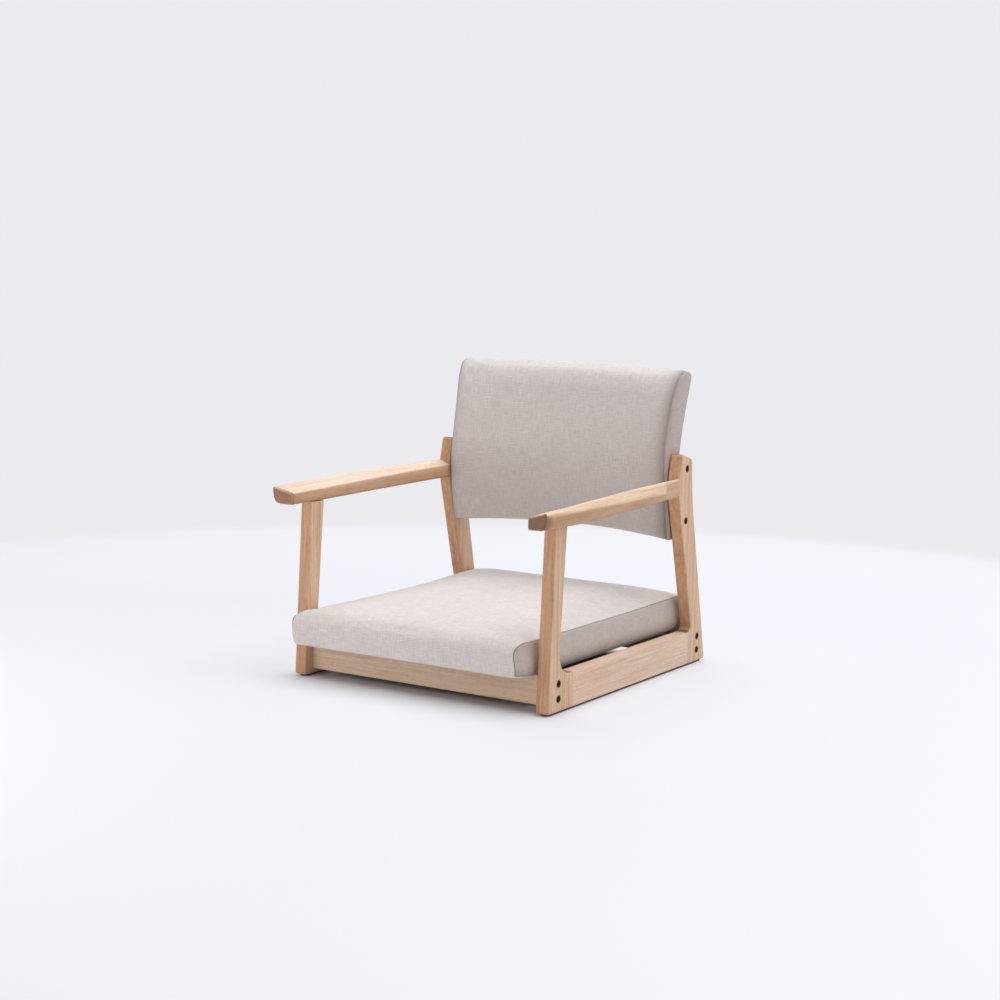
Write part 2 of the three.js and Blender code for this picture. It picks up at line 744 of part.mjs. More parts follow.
// Side section of the padded back, anticlockwise from its lower front corner, as
// shares of its height and of its thickness.
const backSectionShares = [
  [0.012, 0.66], [0.035, 0.75], [0.075, 0.8], [0.16, 0.87], [0.26, 0.95], [0.37, 1], [0.47, 1.01],
  [0.57, 1], [0.69, 0.99], [0.8, 0.97], [0.88, 0.95], [0.94, 0.86], [0.975, 0.74], [0.993, 0.58],
  [1, 0.42], [0.993, 0.25], [0.97, 0.1], [0.93, 0.02], [0.8, 0], [0.62, 0], [0.45, 0], [0.3, 0],
  [0.15, 0], [0.05, 0.02], [0.012, 0.1], [0, 0.3],
];
const backStationShares = [1, 0.985, 0.93, 0.8, 0.62, 0.42, 0.21, 0];

function mirroredStations(shares) {
  const right = shares.filter((share) => share > 0);
  return [...shares.map((share) => -share), ...right.reverse()];
}

function backCushion() {
  const rings = mirroredStations(backStationShares).map((station) => {
    const middleDepth = backThickness / 2;
    const inset = Math.abs(station) === 1 ? backEndRound : 0;
    return backSectionShares.map(([up, deep]) => {
      const flareShare = Math.max(0, 2 * up - 1);
      const halfWidth = backHalfWidth + backTopFlare * flareShare * flareShare;
      const arch = backArch * (1 - station * station) * (1 - up) ** 2;
      const shrink = 1 - (2 * inset) / backThickness;
      const plainHeight = backBottom + up * backHeight;
      const height = arch + THREE.MathUtils.clamp(plainHeight, backBottom + inset, backTop - inset);
      const depth = middleDepth + (deep * backThickness - middleDepth) * shrink;
      const spot = backPoint(station * backHalfWidth, height, depth);
      spot.x = station * halfWidth;
      return spot;
    });
  });
  const recess = backSlab(
    backRearPadThickness - backThickness, backRearPadThickness + backCoreThickness + 2 * fitGap, fitGap,
  );
  const boltHoles = backBolts.flatMap(([, y, z]) => [-1, 1].map((side) => rod(
    new THREE.Vector3(side * (backCoreHalfWidth - cutOverrun), y, z),
    new THREE.Vector3(side * (backHalfWidth + cutOverrun), y, z),
    boltDiameter + 2 * boltClearance,
  )));
  return cut(loft(rings, true), [recess, ...boltHoles]);
}

// A layer of the back between two depths, inside the cover all round.
const slabStations = 12;
const slabHeightSteps = 7;

function backSlab(nearDepth, farDepth, grow) {
  const low = backBottom + backCoreBottomCover - grow;
  const high = backTop - backCoreTopCover + grow;
  const halfWidth = backCoreHalfWidth + grow;
  const rings = [];
  for (let station = 0; station <= slabStations; station += 1) {
    const x = THREE.MathUtils.lerp(-halfWidth, halfWidth, station / slabStations);
    const ring = [];
    for (let step = 0; step <= slabHeightSteps; step += 1) {
      ring.push(backPoint(x, THREE.MathUtils.lerp(low, high, step / slabHeightSteps), farDepth));
    }
    for (let step = slabHeightSteps; step >= 0; step -= 1) {
      ring.push(backPoint(x, THREE.MathUtils.lerp(low, high, step / slabHeightSteps), nearDepth));
    }
    rings.push(ring);
  }
  return loft(rings, true);
}

function backCore() {
  const near = backRearPadThickness + fitGap;
  const holes = backBolts.flatMap(([, y, z]) => [-1, 1].map((side) => rod(
    new THREE.Vector3(side * (backCoreHalfWidth - insertLength - 2 * cutOverrun), y, z),
    new THREE.Vector3(side * (backCoreHalfWidth + cutOverrun), y, z),
    insertDiameter + 2 * fitGap,
  )));
  return cut(backSlab(near, near + backCoreThickness, 0), holes);
}

function threadedInsert() {
  const bore = threadBore / 2;
  const sleeve = turnedSleeve([
    [bore, 0],
    [insertDiameter / 2, 0],
    [insertDiameter / 2, insertLength],
    [bore, insertLength],
  ]);
  return sleeve.rotateZ(-Math.PI / 2);
}

// Assembly
const chair = new THREE.Group();

function addMesh(parent, name, geometry, material, place = new THREE.Vector3()) {
  const mesh = new THREE.Mesh(geometry, material);
  mesh.name = name;
  mesh.position.copy(place);
  parent.add(mesh);
}

const framePieces = sideFramePieces();
const armGeometry = armrest();
const frameBoltGeometry = bolt(frameBoltLength, boltHeadDiameter, boltHeadHeight);
const backBoltGeometry = bolt(backBoltLength, boltHeadDiameter, boltHeadHeight);
const barrelNutGeometry = barrelNut();
const insertGeometry = threadedInsert();
const boltSeatX = outerX - boltRecessDepth + fitGap;

for (const [side, mirror] of [["right", 1], ["left", -1]]) {
  const frame = new THREE.Group();
  frame.scale.x = mirror;
  chair.add(frame);
  for (const [name, geometry] of Object.entries(framePieces)) {
    addMesh(frame, `${name}_${side}`, geometry, oak);
  }
  addMesh(frame, `armrest_${side}`, armGeometry, oak);
  addMesh(frame, `felt_strip_${side}`, feltStrip(), felt);
  for (const [name, from, to, width, axis] of tenons) {
    addMesh(frame, `${name}_${side}`, tenonBar(from, to, width, axis), beech);
  }
  for (const [name, y, z] of frameBolts) {
    addMesh(frame, `frame_bolt_${name}_${side}`, frameBoltGeometry, blackSteel, new THREE.Vector3(boltSeatX, y, z));
    addMesh(frame, `barrel_nut_${name}_${side}`, barrelNutGeometry, zincSteel, new THREE.Vector3(barrelNutX, y, z));
  }
  for (const [name, y, z] of backBolts) {
    addMesh(frame, `back_bolt_${name}_${side}`, backBoltGeometry, blackSteel, new THREE.Vector3(boltSeatX, y, z));
    const insertX = backCoreHalfWidth - insertLength;
    addMesh(frame, `back_insert_${name}_${side}`, insertGeometry, zincSteel, new THREE.Vector3(insertX, y, z));
  }
}

addMesh(chair, "front_rail", crossRail(frontRailY, 1), oak);
addMesh(chair, "rear_rail", crossRail(rearRailY, -1), oak);

const seatScrewGeometry = bolt(
  boardTopZ - seatScrewSeatZ, seatScrewHeadDiameter, seatScrewHeadHeight,
).rotateY(Math.PI / 2);
const teeNutGeometry = teeNut();
for (const [column, x] of [["left", seatScrewXs[0]], ["right", seatScrewXs[1]]]) {
  for (const [row, y] of [["front", frontRailY], ["rear", rearRailY]]) {
    const screwPlace = new THREE.Vector3(x, y, seatScrewSeatZ - fitGap);
    addMesh(chair, `seat_screw_${row}_${column}`, seatScrewGeometry, blackSteel, screwPlace);
    addMesh(chair, `seat_tee_nut_${row}_${column}`, teeNutGeometry, zincSteel, new THREE.Vector3(x, y, boardTopZ));
  }
}
const screwHole = boltDiameter + 2 * boltClearance;
addMesh(
  chair, "seat_dust_cover",
  seatPanel(seatBoardInset + dustCoverInset, seatBaseZ, dustCoverThickness, screwHole), lining,
);
addMesh(
  chair, "seat_board",
  seatPanel(seatBoardInset, boardBottomZ, seatBoardThickness, teeNutBarrelDiameter + 2 * fitGap), plywood,
);
addMesh(chair, "seat_cushion", seatCushion(), linen);

addMesh(chair, "back_core", backCore(), plywood);
addMesh(chair, "back_rear_pad", backSlab(0, backRearPadThickness, 0), linen);
addMesh(chair, "back_cushion", backCushion(), linen);

// The origin is on the floor, in the middle of the chair's width and depth.
const bounds = new THREE.Box3().setFromObject(chair);
chair.position.y = -(bounds.min.y + bounds.max.y) / 2;

export default chair;
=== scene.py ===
# %% [markdown]
# # A low chair for sitting on the floor
# Two flat oak side frames stand on the floor. Two rails tie them together and carry an upholstered seat pad,
# and a hollow upholstered back is bolted between the rear posts. The timber, bolts and felt come from the
# measured model. This lesson gives them their finish, and sews, stuffs and stitches the soft parts.

import math

import bpy
import numpy as np
from mathutils import Matrix, Vector


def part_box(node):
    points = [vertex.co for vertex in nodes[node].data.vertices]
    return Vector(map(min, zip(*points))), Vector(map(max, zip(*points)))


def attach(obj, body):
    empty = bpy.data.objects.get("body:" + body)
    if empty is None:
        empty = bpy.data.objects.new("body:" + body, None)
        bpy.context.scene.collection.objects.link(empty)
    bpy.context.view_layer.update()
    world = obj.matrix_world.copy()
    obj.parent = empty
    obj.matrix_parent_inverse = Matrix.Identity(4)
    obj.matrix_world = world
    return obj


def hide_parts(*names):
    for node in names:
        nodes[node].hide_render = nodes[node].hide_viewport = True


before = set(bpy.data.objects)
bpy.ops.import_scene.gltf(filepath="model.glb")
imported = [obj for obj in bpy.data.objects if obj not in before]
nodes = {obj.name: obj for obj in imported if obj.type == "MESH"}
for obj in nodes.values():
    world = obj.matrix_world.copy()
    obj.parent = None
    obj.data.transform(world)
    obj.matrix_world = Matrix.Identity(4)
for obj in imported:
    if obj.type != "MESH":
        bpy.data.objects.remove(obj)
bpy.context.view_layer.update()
scene = bpy.context.scene
MM = 0.001
print("pieces in the measured model:", len(nodes))


# %% [markdown]
# ## Small helpers
# A shader works in linear light, while a colour is written as an sRGB hex value, so one function turns the
# one into the other. A node tree reads best as a list of steps, so a small class adds one node per call. Every
# input of a step is a number, a hex colour or the socket of an earlier step.

# %% Colour and node helpers
def linear(hex_colour):
    """The linear RGBA of an sRGB colour written as #RRGGBB."""
    channels = [int(hex_colour[at:at + 2], 16) / 255 for at in (1, 3, 5)]
    return [c / 12.92 if c <= 0.04045 else ((c + 0.055) / 1.055) ** 2.4 for c in channels] + [1.0]


class Steps:
    """A node tree that is written as a list of steps."""

    def __init__(self, tree):
        self.tree = tree

    def add(self, kind, inputs=None, **settings):
        """One node with its settings and its inputs. A list of sockets all go into the same input."""
        node = self.tree.nodes.new(kind)
        for name, value in settings.items():
            setattr(node, name, value)
        for key, value in (inputs or {}).items():
            sources = value if isinstance(value, list) else [value]
            if isinstance(sources[0], bpy.types.NodeSocket):
                for source in sources:
                    self.tree.links.new(source, node.inputs[key])
            else:
                is_colour = isinstance(value, str) and value.startswith("#")
                node.inputs[key].default_value = linear(value) if is_colour else value
        return node

    def out(self, kind, inputs=None, **settings):
        """The first output of one node."""
        return self.add(kind, inputs, **settings).outputs[0]

    def maths(self, operation, *terms):
        return self.out("ShaderNodeMath", dict(enumerate(terms)), operation=operation)

    def total(self, first, *others):
        for other in others:
            first = self.maths("ADD", first, other)
        return first

    def part(self, vector, axis):
        """One of a vector's parts, X, Y or Z."""
        return self.add("ShaderNodeSeparateXYZ", {0: vector}).outputs[axis]

    def upright(self, height):
        """The vector that points up by that height."""
        return self.out("ShaderNodeCombineXYZ", {2: height})

    def ramp(self, value, low, high, at_low=0.0, at_high=1.0, smooth=False):
        """at_low where the value is low, at_high where it is high, and a rise between."""
        return self.out("ShaderNodeMapRange", {
            "Value": value, "From Min": low, "From Max": high, "To Min": at_low, "To Max": at_high},
            interpolation_type="SMOOTHSTEP" if smooth else "LINEAR")

    def turned(self, space, degrees, kind="POINT"):
        turn = [math.radians(angle) for angle in degrees]
        return self.out("ShaderNodeMapping", {"Vector": space, "Rotation": turn}, vector_type=kind)

    def scaled(self, space, scale, place=(0.0, 0.0, 0.0)):
        return self.out("ShaderNodeMapping", {"Vector": space, "Scale": scale, "Location": place})

    def noise(self, space, scale=1.0, detail=2.0, roughness=0.5, distortion=0.0, flat=False):
        return self.add("ShaderNodeTexNoise", {
            "Vector": space, "Scale": scale, "Detail": detail, "Roughness": roughness, "Distortion": distortion},
            noise_dimensions="2D" if flat else "3D").outputs["Fac"]

    def mix(self, share, first, second, blend="MIX"):
        """The first colour with that share of the second laid over it."""
        return self.add("ShaderNodeMix", {"Factor": share, "A": first, "B": second},
                        data_type="RGBA", blend_type=blend).outputs["Result"]

    def bump(self, height, strength, distance):
        return self.out("ShaderNodeBump", {"Height": height, "Strength": strength, "Distance": distance})

    def seen(self, *rays):
        """1 for these kinds of ray, 0 for the others."""
        path = self.add("ShaderNodeLightPath")
        kinds = [path.outputs[f"Is {ray} Ray"] for ray in rays]
        result = kinds[0]
        for kind in kinds[1:]:
            result = self.maths("MAXIMUM", result, kind)
        return result

    def surface(self, shader, kind="ShaderNodeOutputMaterial"):
        self.add(kind, {"Surface": shader})

    def principled(self, inputs):
        self.surface(self.out("ShaderNodeBsdfPrincipled", inputs))


def new_material(name):
    """An empty material, and its steps."""
    material = bpy.data.materials.new(name)
    material.use_nodes = True
    material.node_tree.nodes.clear()
    return material, Steps(material.node_tree)


def new_object(name, data):
    """An object at the origin, in the scene."""
    made = bpy.data.objects.new(name, data)
    scene.collection.objects.link(made)
    return made


print("white in linear light:", linear("#FFFFFF"))

# %% [markdown]
# ## The camera
# The chair is seen from its front right, a little above armrest height. The place, the turn and the lens were
# solved from the corners and bolt holes of the two side frames, which are the same shape, so the frame in the
# picture lines up with the real one.

# %% Place the camera
CAMERA_PLACE = (1.76196, -2.75560, 0.71880)
azimuth, elevation, roll = (math.radians(angle) for angle in (32.646, 7.142, 0.970))
backwards = np.array([
    math.sin(azimuth) * math.cos(elevation), -math.cos(azimuth) * math.cos(elevation), math.sin(elevation),
])
level = np.array([math.cos(azimuth), math.sin(azimuth), 0.0])
upright = np.cross(backwards, level)
camera_right = math.cos(roll) * level + math.sin(roll) * upright
camera_up = -math.sin(roll) * level + math.cos(roll) * upright

camera_data = bpy.data.cameras.new("picture_camera")
camera_data.lens = 66.23
camera_data.sensor_width = 36.0
camera = new_object("picture_camera", camera_data)
camera.matrix_world = Matrix([*zip(camera_right, camera_up, backwards, CAMERA_PLACE), (0.0, 0.0, 0.0, 1.0)])
scene.camera = camera
print("camera", [round(v, 3) for v in camera.location], "lens", camera_data.lens)

# %% [markdown]
# ## Studio light
# The picture was lit by a large soft light from above, a weaker one from the viewer's right, and the light that
# a white studio throws back, a little of it from low in front. Area lamps are soft boxes: the larger they are,
# the softer the shadow. The lamps are kept at a level at which a colour renders about as it is written.

# %% Hang the lamps and set the world
scene.view_settings.view_transform = "Standard"
WALL_GREY = "#EBEBEF"


def soft_box(name, place, aim, size, watts, tint):
    """An area lamp at a place, turned towards its aim, in metres."""
    lamp = bpy.data.lights.new(name, "AREA")
    lamp.shape = "RECTANGLE"
    lamp.size, lamp.size_y = size
    lamp.energy = watts
    lamp.color = linear(tint)[:3]
    holder = new_object(name, lamp)
    holder.rotation_euler = (Vector(place) - Vector(aim)).to_track_quat("Z", "Y").to_euler()
    holder.location = place


soft_box("overhead_box", (0.2, 0.6, 3.1), (0.0, 0.0, 0.2), (3.4, 2.4), 84.0, "#F4F7FF")
soft_box("right_box", (2.3, -0.35, 1.6), (0.0, 0.0, 0.25), (1.8, 1.6), 11.5, "#FFFAF4")
soft_box("front_box", (-0.7, -1.15, 0.3), (0.0, -0.3, 0.08), (1.2, 0.4), 2.6, "#FFF3E8")

world = bpy.data.worlds.new("white_studio")
world.use_nodes = True
scene.world = world
sky = Steps(world.node_tree)
sky.tree.nodes.clear()
studio_light = sky.out("ShaderNodeBackground", {"Color": "#F9F9FC", "Strength": 0.43})
backdrop = sky.out("ShaderNodeBackground", {"Color": WALL_GREY, "Strength": 1.0})
sky.surface(sky.out("ShaderNodeMixShader", {
    "Fac": sky.seen("Camera", "Glossy", "Transmission"), 1: studio_light, 2: backdrop}), "ShaderNodeOutputWorld")

# %% [markdown]
# ## The floor
# The studio floor is almost white, and about two metres behind the chair it gives way to the slightly greyer
# wall. A wall would hide the chair from behind, so the floor itself turns into the wall's colour beyond that
# distance. Nearer, the floor is matt paint, and the camera sees it half lit and half glowing by itself: the
# lit half takes the chair's shadow, and the glow keeps that shadow weak and the far floor evenly bright, as
# the many lamps of a studio do. Under the chair there is no glow, so what lies between the rails stays dark.

# %% Lay the floor
FLOOR_REACH, FLOOR_DROP = 30.0, 0.0004
floor_mesh = bpy.data.meshes.new("studio_floor")
floor_mesh.from_pydata([(FLOOR_REACH * across, FLOOR_REACH * along, -FLOOR_DROP)
                        for across, along in ((-1, -1), (1, -1), (1, 1), (-1, 1))], [], [(0, 1, 2, 3)])
floor = new_object("studio_floor", floor_mesh)

WALL_FROM, WALL_TO = 1.80, 1.98
GLOW_HALF, GLOW_EDGE = 0.235, 0.06
GLOW_GROWS_FROM, GLOW_NEAR, GLOW_FAR = 0.6, 0.42, 0.50
floor_paint, steps = new_material("studio_floor_paint")
spot = steps.add("ShaderNodeTexCoord").outputs["Object"]
distance = steps.add("ShaderNodeVectorMath", {0: spot}, operation="LENGTH").outputs["Value"]
looked_at = steps.seen("Camera", "Glossy")
clear = [steps.ramp(steps.maths("ABSOLUTE", steps.part(spot, axis)), GLOW_HALF, GLOW_HALF + GLOW_EDGE,
                    smooth=True) for axis in "XY"]
glowing = steps.maths("MULTIPLY", steps.maths("MAXIMUM", *clear), looked_at)
paint = steps.out("ShaderNodeBsdfDiffuse", {"Roughness": 0.0, "Color": steps.mix(glowing, "#E9E9EE", "#B9B9BD")})
strength = steps.ramp(distance, GLOW_GROWS_FROM, WALL_FROM, GLOW_NEAR, GLOW_FAR, smooth=True)
glow_strength = steps.maths("MULTIPLY", glowing, strength)
glow = steps.out("ShaderNodeEmission", {"Color": "#F5F4F7", "Strength": glow_strength})
near_floor = steps.out("ShaderNodeAddShader", {0: paint, 1: glow})
far_wall = steps.out("ShaderNodeEmission", {"Color": WALL_GREY, "Strength": 1.0})
wall_share = steps.maths("MULTIPLY", steps.ramp(distance, WALL_FROM, WALL_TO, smooth=True), looked_at)
steps.surface(steps.out("ShaderNodeMixShader", {"Fac": wall_share, 1: near_floor, 2: far_wall}))
floor_mesh.materials.append(floor_paint)
print("floor reaches", FLOOR_REACH, "m each way")


# %% [markdown]
# ## Oak
# The frames are pale oak under a clear satin lacquer. Sawn oak shows four things. Growth rings run along a board
# as wavy lines, because the saw cuts through the cylinders of the trunk. Between them lie fine fibres. The pores
# of the spring wood are short dark dashes, about half a millimetre wide and a few long. Where the board is cut
# across, the end grain drinks the lacquer and turns darker.
#
# A picture of wood would need a photograph and a layout for every piece. Here the pattern is worked out in
# space instead, from Object coordinates in metres, so that it runs through a piece as real grain does and meets
# itself round every corner. One recipe serves all pieces and is turned to the way the grain runs in each.

# %% The oak recipe
def box_mm(name):
    """The two corners of a measured piece, in mm."""
    return np.array(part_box(name)) / MM


recesses = [box_mm(name).mean(axis=0) * MM for name in nodes
            if name.startswith(("frame_bolt", "back_bolt")) and name.endswith("left")]
PORE_BROWN, DARK_END, RECESS_SHADE_BROWN = "#9A7147", "#7F5B3C", "#4E3320"
RECESS_SHADE_RADIUS = 6.4
TIP_DARK_FROM, TIP_DARK_TO = -0.299, -0.277


def oak(name, turn, log_centre, pale, deep, cut="#A87F59", tint=None, figure=1.0, shade=None):
    """Lacquered oak whose grain runs along the third axis after the turn, in degrees. figure is the strength of
    the broad markings, tint is painted shade that browns the faces across Y, and shade is painted shade on
    those that don't look up."""
    material, steps = new_material("lacquered_oak_" + name)
    place = steps.add("ShaderNodeTexCoord")
    spot, look = place.outputs["Object"], place.outputs["Normal"]
    along = steps.turned(spot, turn)

    # Growth rings: cylinders round a log centre outside the board, 4 mm apart, wavering along the grain.
    rings = steps.add("ShaderNodeTexWave", {
        "Vector": steps.scaled(along, (1.0, 1.0, 0.16), log_centre), "Scale": 78.0, "Distortion": 13.0,
        "Detail": 2.0, "Detail Scale": 14.0, "Detail Roughness": 0.45},
        wave_type="RINGS", rings_direction="Z", wave_profile="SAW")
    ring_part = steps.maths("MULTIPLY", steps.ramp(rings.outputs["Fac"], 0.35, 1.0, smooth=True), 0.30)
    # Fibres: streaks about 3 mm wide and 100 mm long.
    fibres = steps.noise(steps.scaled(along, (330.0, 330.0, 9.0)), detail=5.0, roughness=0.62)
    fibre_part = steps.ramp(fibres, 0.30, 0.72, 0.0, 0.55)
    # Slow change of shade from board to board and along each board.
    slow = steps.noise(steps.scaled(along, (16.0, 16.0, 3.0)))
    slow_part = steps.ramp(slow, 0.3, 0.7, -0.06, 0.22)
    # Broader streaks, about 7 mm wide, where the tree grew faster or slower.
    streaks = steps.noise(steps.scaled(along, (150.0, 150.0, 3.5)), detail=3.0)
    streak_part = steps.ramp(streaks, 0.36, 0.64, 0.05 - 0.21 * figure, 0.05 + 0.21 * figure)
    colour = steps.mix(steps.total(ring_part, fibre_part, slow_part, streak_part), pale, deep)
    # Pores: dashes 0.7 mm wide and about 12 mm long, a little coarser than real ones so that they show.
    pore_noise = steps.noise(steps.scaled(along, (1350.0, 1350.0, 75.0)), detail=1.0, roughness=0.4)
    pores = steps.ramp(pore_noise, 0.60, 0.70, smooth=True)
    colour = steps.mix(steps.maths("MULTIPLY", pores, 0.34), colour, PORE_BROWN)

    if tint:
        # Painted shade: the narrow faces, which look along Y, are painted browner, as they take less light than
        # the wide ones.
        narrow = steps.ramp(steps.maths("ABSOLUTE", steps.part(look, "Y")), 0.45, 0.9, smooth=True)
        colour = steps.mix(narrow, colour, tint, "MULTIPLY")
    if shade:
        # Painted shade: the faces that don't look up are painted browner, as less of the overhead light reaches
        # them.
        painted_shade_below = steps.ramp(steps.part(look, "Z"), -0.15, 0.36, 1.0, 0.0)
        colour = steps.mix(painted_shade_below, colour, shade, "MULTIPLY")
        # The sides are painted darker, towards the end grain's colour, over the last two centimetres before the
        # tip, only on the faces that take the painted shade below.
        tip_darkening = steps.ramp(steps.part(spot, "Y"), TIP_DARK_FROM, TIP_DARK_TO, 0.85, 0.0, smooth=True)
        colour = steps.mix(steps.maths("MULTIPLY", tip_darkening, painted_shade_below), colour, cut)

    # End grain: faces that look along the grain, with the pores seen as dots.
    facing = steps.maths("ABSOLUTE", steps.part(steps.turned(look, turn, "NORMAL"), "Z"))
    dots = steps.noise(steps.scaled(along, (900.0, 900.0, 60.0)), roughness=0.6)
    colour = steps.mix(steps.ramp(facing, 0.45 if shade else 0.72, 0.9, smooth=True), colour,
                       steps.mix(steps.ramp(dots, 0.3, 0.7), cut, DARK_END))

    # Painted shade darkens the wall of each bolt's recess and a thin ring of the face round it, so that the hole
    # looks deep and dark.
    flat = steps.out("ShaderNodeVectorMath", {0: spot, 1: (0.0, 1.0, 1.0)}, operation="MULTIPLY")
    nearest = None
    for recess in recesses:
        away = steps.add("ShaderNodeVectorMath", {0: flat, 1: (0.0, recess[1], recess[2])},
                         operation="DISTANCE").outputs["Value"]
        nearest = away if nearest is None else steps.maths("MINIMUM", nearest, away)
    recess_shade = steps.ramp(nearest, RECESS_SHADE_RADIUS * MM, (RECESS_SHADE_RADIUS + 1.0) * MM, 0.92, 0.0, smooth=True)
    colour = steps.mix(recess_shade, colour, RECESS_SHADE_BROWN)

    # The lacquer fills most of each pore: a shallow relief of 0.1 mm and a slightly uneven satin gloss.
    relief = steps.maths("MULTIPLY_ADD", pores, -0.7, fibres)
    steps.principled({
        "Base Color": colour, "Roughness": steps.ramp(fibres, 0.3, 0.7, 0.40, 0.52),
        "Normal": steps.bump(relief, 0.35, 0.0001), "IOR": 1.5, "Coat Weight": 0.08, "Coat Roughness": 0.3})
    return material


UP, LENGTHWISE, CROSSWISE = (0, 0, 0), (90, 0, 0), (0, -90, 0)
oak_upright = oak("upright", UP, (0.19, 0.055, 0.0), "#ECCDB0", "#C39269", tint="#F0DFCF")
oak_lengthwise = oak("lengthwise", LENGTHWISE, (0.21, -0.12, 0.0), "#F5DFC8", "#D0A884", figure=0.45)
oak_crosswise = oak("crosswise", CROSSWISE, (-0.10, 0.06, 0.0), "#FCE5CB", "#D8AE88", figure=0.6)
# The two armrests are copies of one oak whose colours differ as painted light: the left one's tip is painted
# lighter, and its top and its faces below a little darker, than the right one's.
oak_right_arm = oak("right_armrest", LENGTHWISE, (0.20, 0.29, 0.05), "#FDE7CD", "#DDB790", "#83593D",
                    figure=0.8, shade="#D0BAA2")
oak_left_arm = oak("left_armrest", LENGTHWISE, (-0.17, 0.31, 0.05), "#F5DDC5", "#DAB694", "#B98263",
                   figure=0.8, shade="#C6A888")
print("oak materials:", [m.name for m in bpy.data.materials if "oak" in m.name])

# %% [markdown]
# ## Softened arrises
# Every edge of the frame was eased with a router and sanded, so it catches a thin line of light. The measured
# solids have that rounding as a few narrow facets. Their triangles are loose, so a small Geometry Nodes tree
# first joins them, then shades the mesh smooth and keeps an edge sharp only where two faces meet at more than a
# set angle. A Weighted Normal modifier after it keeps the broad faces flat and puts all the turn into the
# narrow facets.

# %% Build the easing tree
easing = Steps(bpy.data.node_groups.new("eased_arrises", "GeometryNodeTree"))
easing.tree.interface.new_socket("Timber", in_out="INPUT", socket_type="NodeSocketGeometry")
angle_socket = easing.tree.interface.new_socket("Sharp angle", in_out="INPUT", socket_type="NodeSocketFloat")
easing.tree.interface.new_socket("Timber", in_out="OUTPUT", socket_type="NodeSocketGeometry")
given = easing.add("NodeGroupInput").outputs
joined = easing.out("GeometryNodeMergeByDistance", {"Geometry": given["Timber"], "Distance": 0.02 * MM})
smooth = easing.out("GeometryNodeSetShadeSmooth", {"Geometry": joined, "Shade Smooth": True}, domain="FACE")
edge_angle = easing.add("GeometryNodeInputMeshEdgeAngle").outputs["Unsigned Angle"]
soft_edge = easing.out("FunctionNodeCompare", {"A": edge_angle, "B": given["Sharp angle"]},
                       data_type="FLOAT", operation="LESS_THAN")
creased = easing.out("GeometryNodeSetShadeSmooth", {"Geometry": smooth, "Shade Smooth": soft_edge},
                     domain="EDGE")
easing.add("NodeGroupOutput", {"Timber": creased})
SHARP, SHARP_ON_ARMREST = 52, 28


def finish_with(piece, material):
    """Puts one material on every slot of a piece."""
    piece.data.materials.clear()
    piece.data.materials.append(material)


def ease_and_finish(starts, material, sharp=SHARP):
    """Joins the loose triangles of the measured solids whose names start so, shades their narrow roundings
    smooth up to the sharp angle, in degrees, and gives them their material."""
    group = [piece for name, piece in nodes.items() if name.startswith(starts)]
    for piece in group:
        modifier = piece.modifiers.new("eased_arrises", "NODES")
        modifier.node_group = easing.tree
        modifier[angle_socket.identifier] = math.radians(sharp)
        weighted = piece.modifiers.new("flat_faces", "WEIGHTED_NORMAL")
        weighted.keep_sharp = True
        weighted.weight = 80
        finish_with(piece, material)
    print(material.name, "on", len(group), "pieces")


ease_and_finish(("front_leg", "rear_post"), oak_upright)
ease_and_finish("side_rail", oak_lengthwise)
ease_and_finish(("front_rail", "rear_rail"), oak_crosswise)
ease_and_finish("armrest_left", oak_left_arm, SHARP_ON_ARMREST)
ease_and_finish("armrest_right", oak_right_arm, SHARP_ON_ARMREST)


# %% [markdown]
# ## Hidden timber, felt and metal
# What holds the chair together hardly shows, but it is there: beech tenons in the glued joints, a plywood board
# under the seat and a bent plywood core in the back, zinc-plated nuts, and a strip of dense felt under each side
# frame that guards the floor. Each gets the finish of the real stuff.

# %% Finishes of the hidden pieces
def plain_wood(name, turn, pale, deep, plies=0.0):
    """Bare machined wood. With plies, the thickness of one veneer in metres, its edges show layers."""
    material, steps = new_material(name)
    spot = steps.add("ShaderNodeTexCoord").outputs["Object"]
    fibres = steps.noise(steps.scaled(steps.turned(spot, turn), (420.0, 420.0, 14.0)), detail=4.0)
    shade = fibres
    if plies:
        layers = steps.ramp(steps.maths("PINGPONG", steps.part(spot, "Z"), plies), 0.0, plies)
        shade = steps.maths("MULTIPLY_ADD", layers, 0.45, fibres)
    steps.principled({"Base Color": steps.mix(shade, pale, deep), "Normal": steps.bump(fibres, 0.3, 0.0002),
                      "Roughness": 0.72, "IOR": 1.5})
    return material


def metal(name, colour, darker, roughness):
    """Steel with the cloudy tone that plating or blackening leaves, in its colour and in its gloss."""
    material, steps = new_material(name)
    clouds = steps.noise(steps.add("ShaderNodeTexCoord").outputs["Object"], 900.0, detail=3.0)
    steps.principled({"Base Color": steps.mix(clouds, colour, darker), "Metallic": 1.0,
                      "Roughness": steps.ramp(clouds, 0.0, 1.0, roughness - 0.07, roughness + 0.07)})
    return material


def fibre_mat(name, colour, paler, fibre_scale, relief):
    """Felt or bonded lining: fibres pressed together in every direction, quite without gloss."""
    material, steps = new_material(name)
    spot = steps.add("ShaderNodeTexCoord").outputs["Object"]
    fibres = steps.noise(spot, fibre_scale, detail=4.0, distortion=2.5)
    both = steps.maths("MULTIPLY", steps.noise(spot, fibre_scale * 0.3), fibres)
    steps.principled({
        "Base Color": steps.mix(steps.ramp(both, 0.12, 0.42), colour, paler),
        "Normal": steps.bump(fibres, 0.8, relief),
        "Roughness": 0.97, "Sheen Weight": 0.15, "Sheen Roughness": 0.6, "IOR": 1.5})
    return material


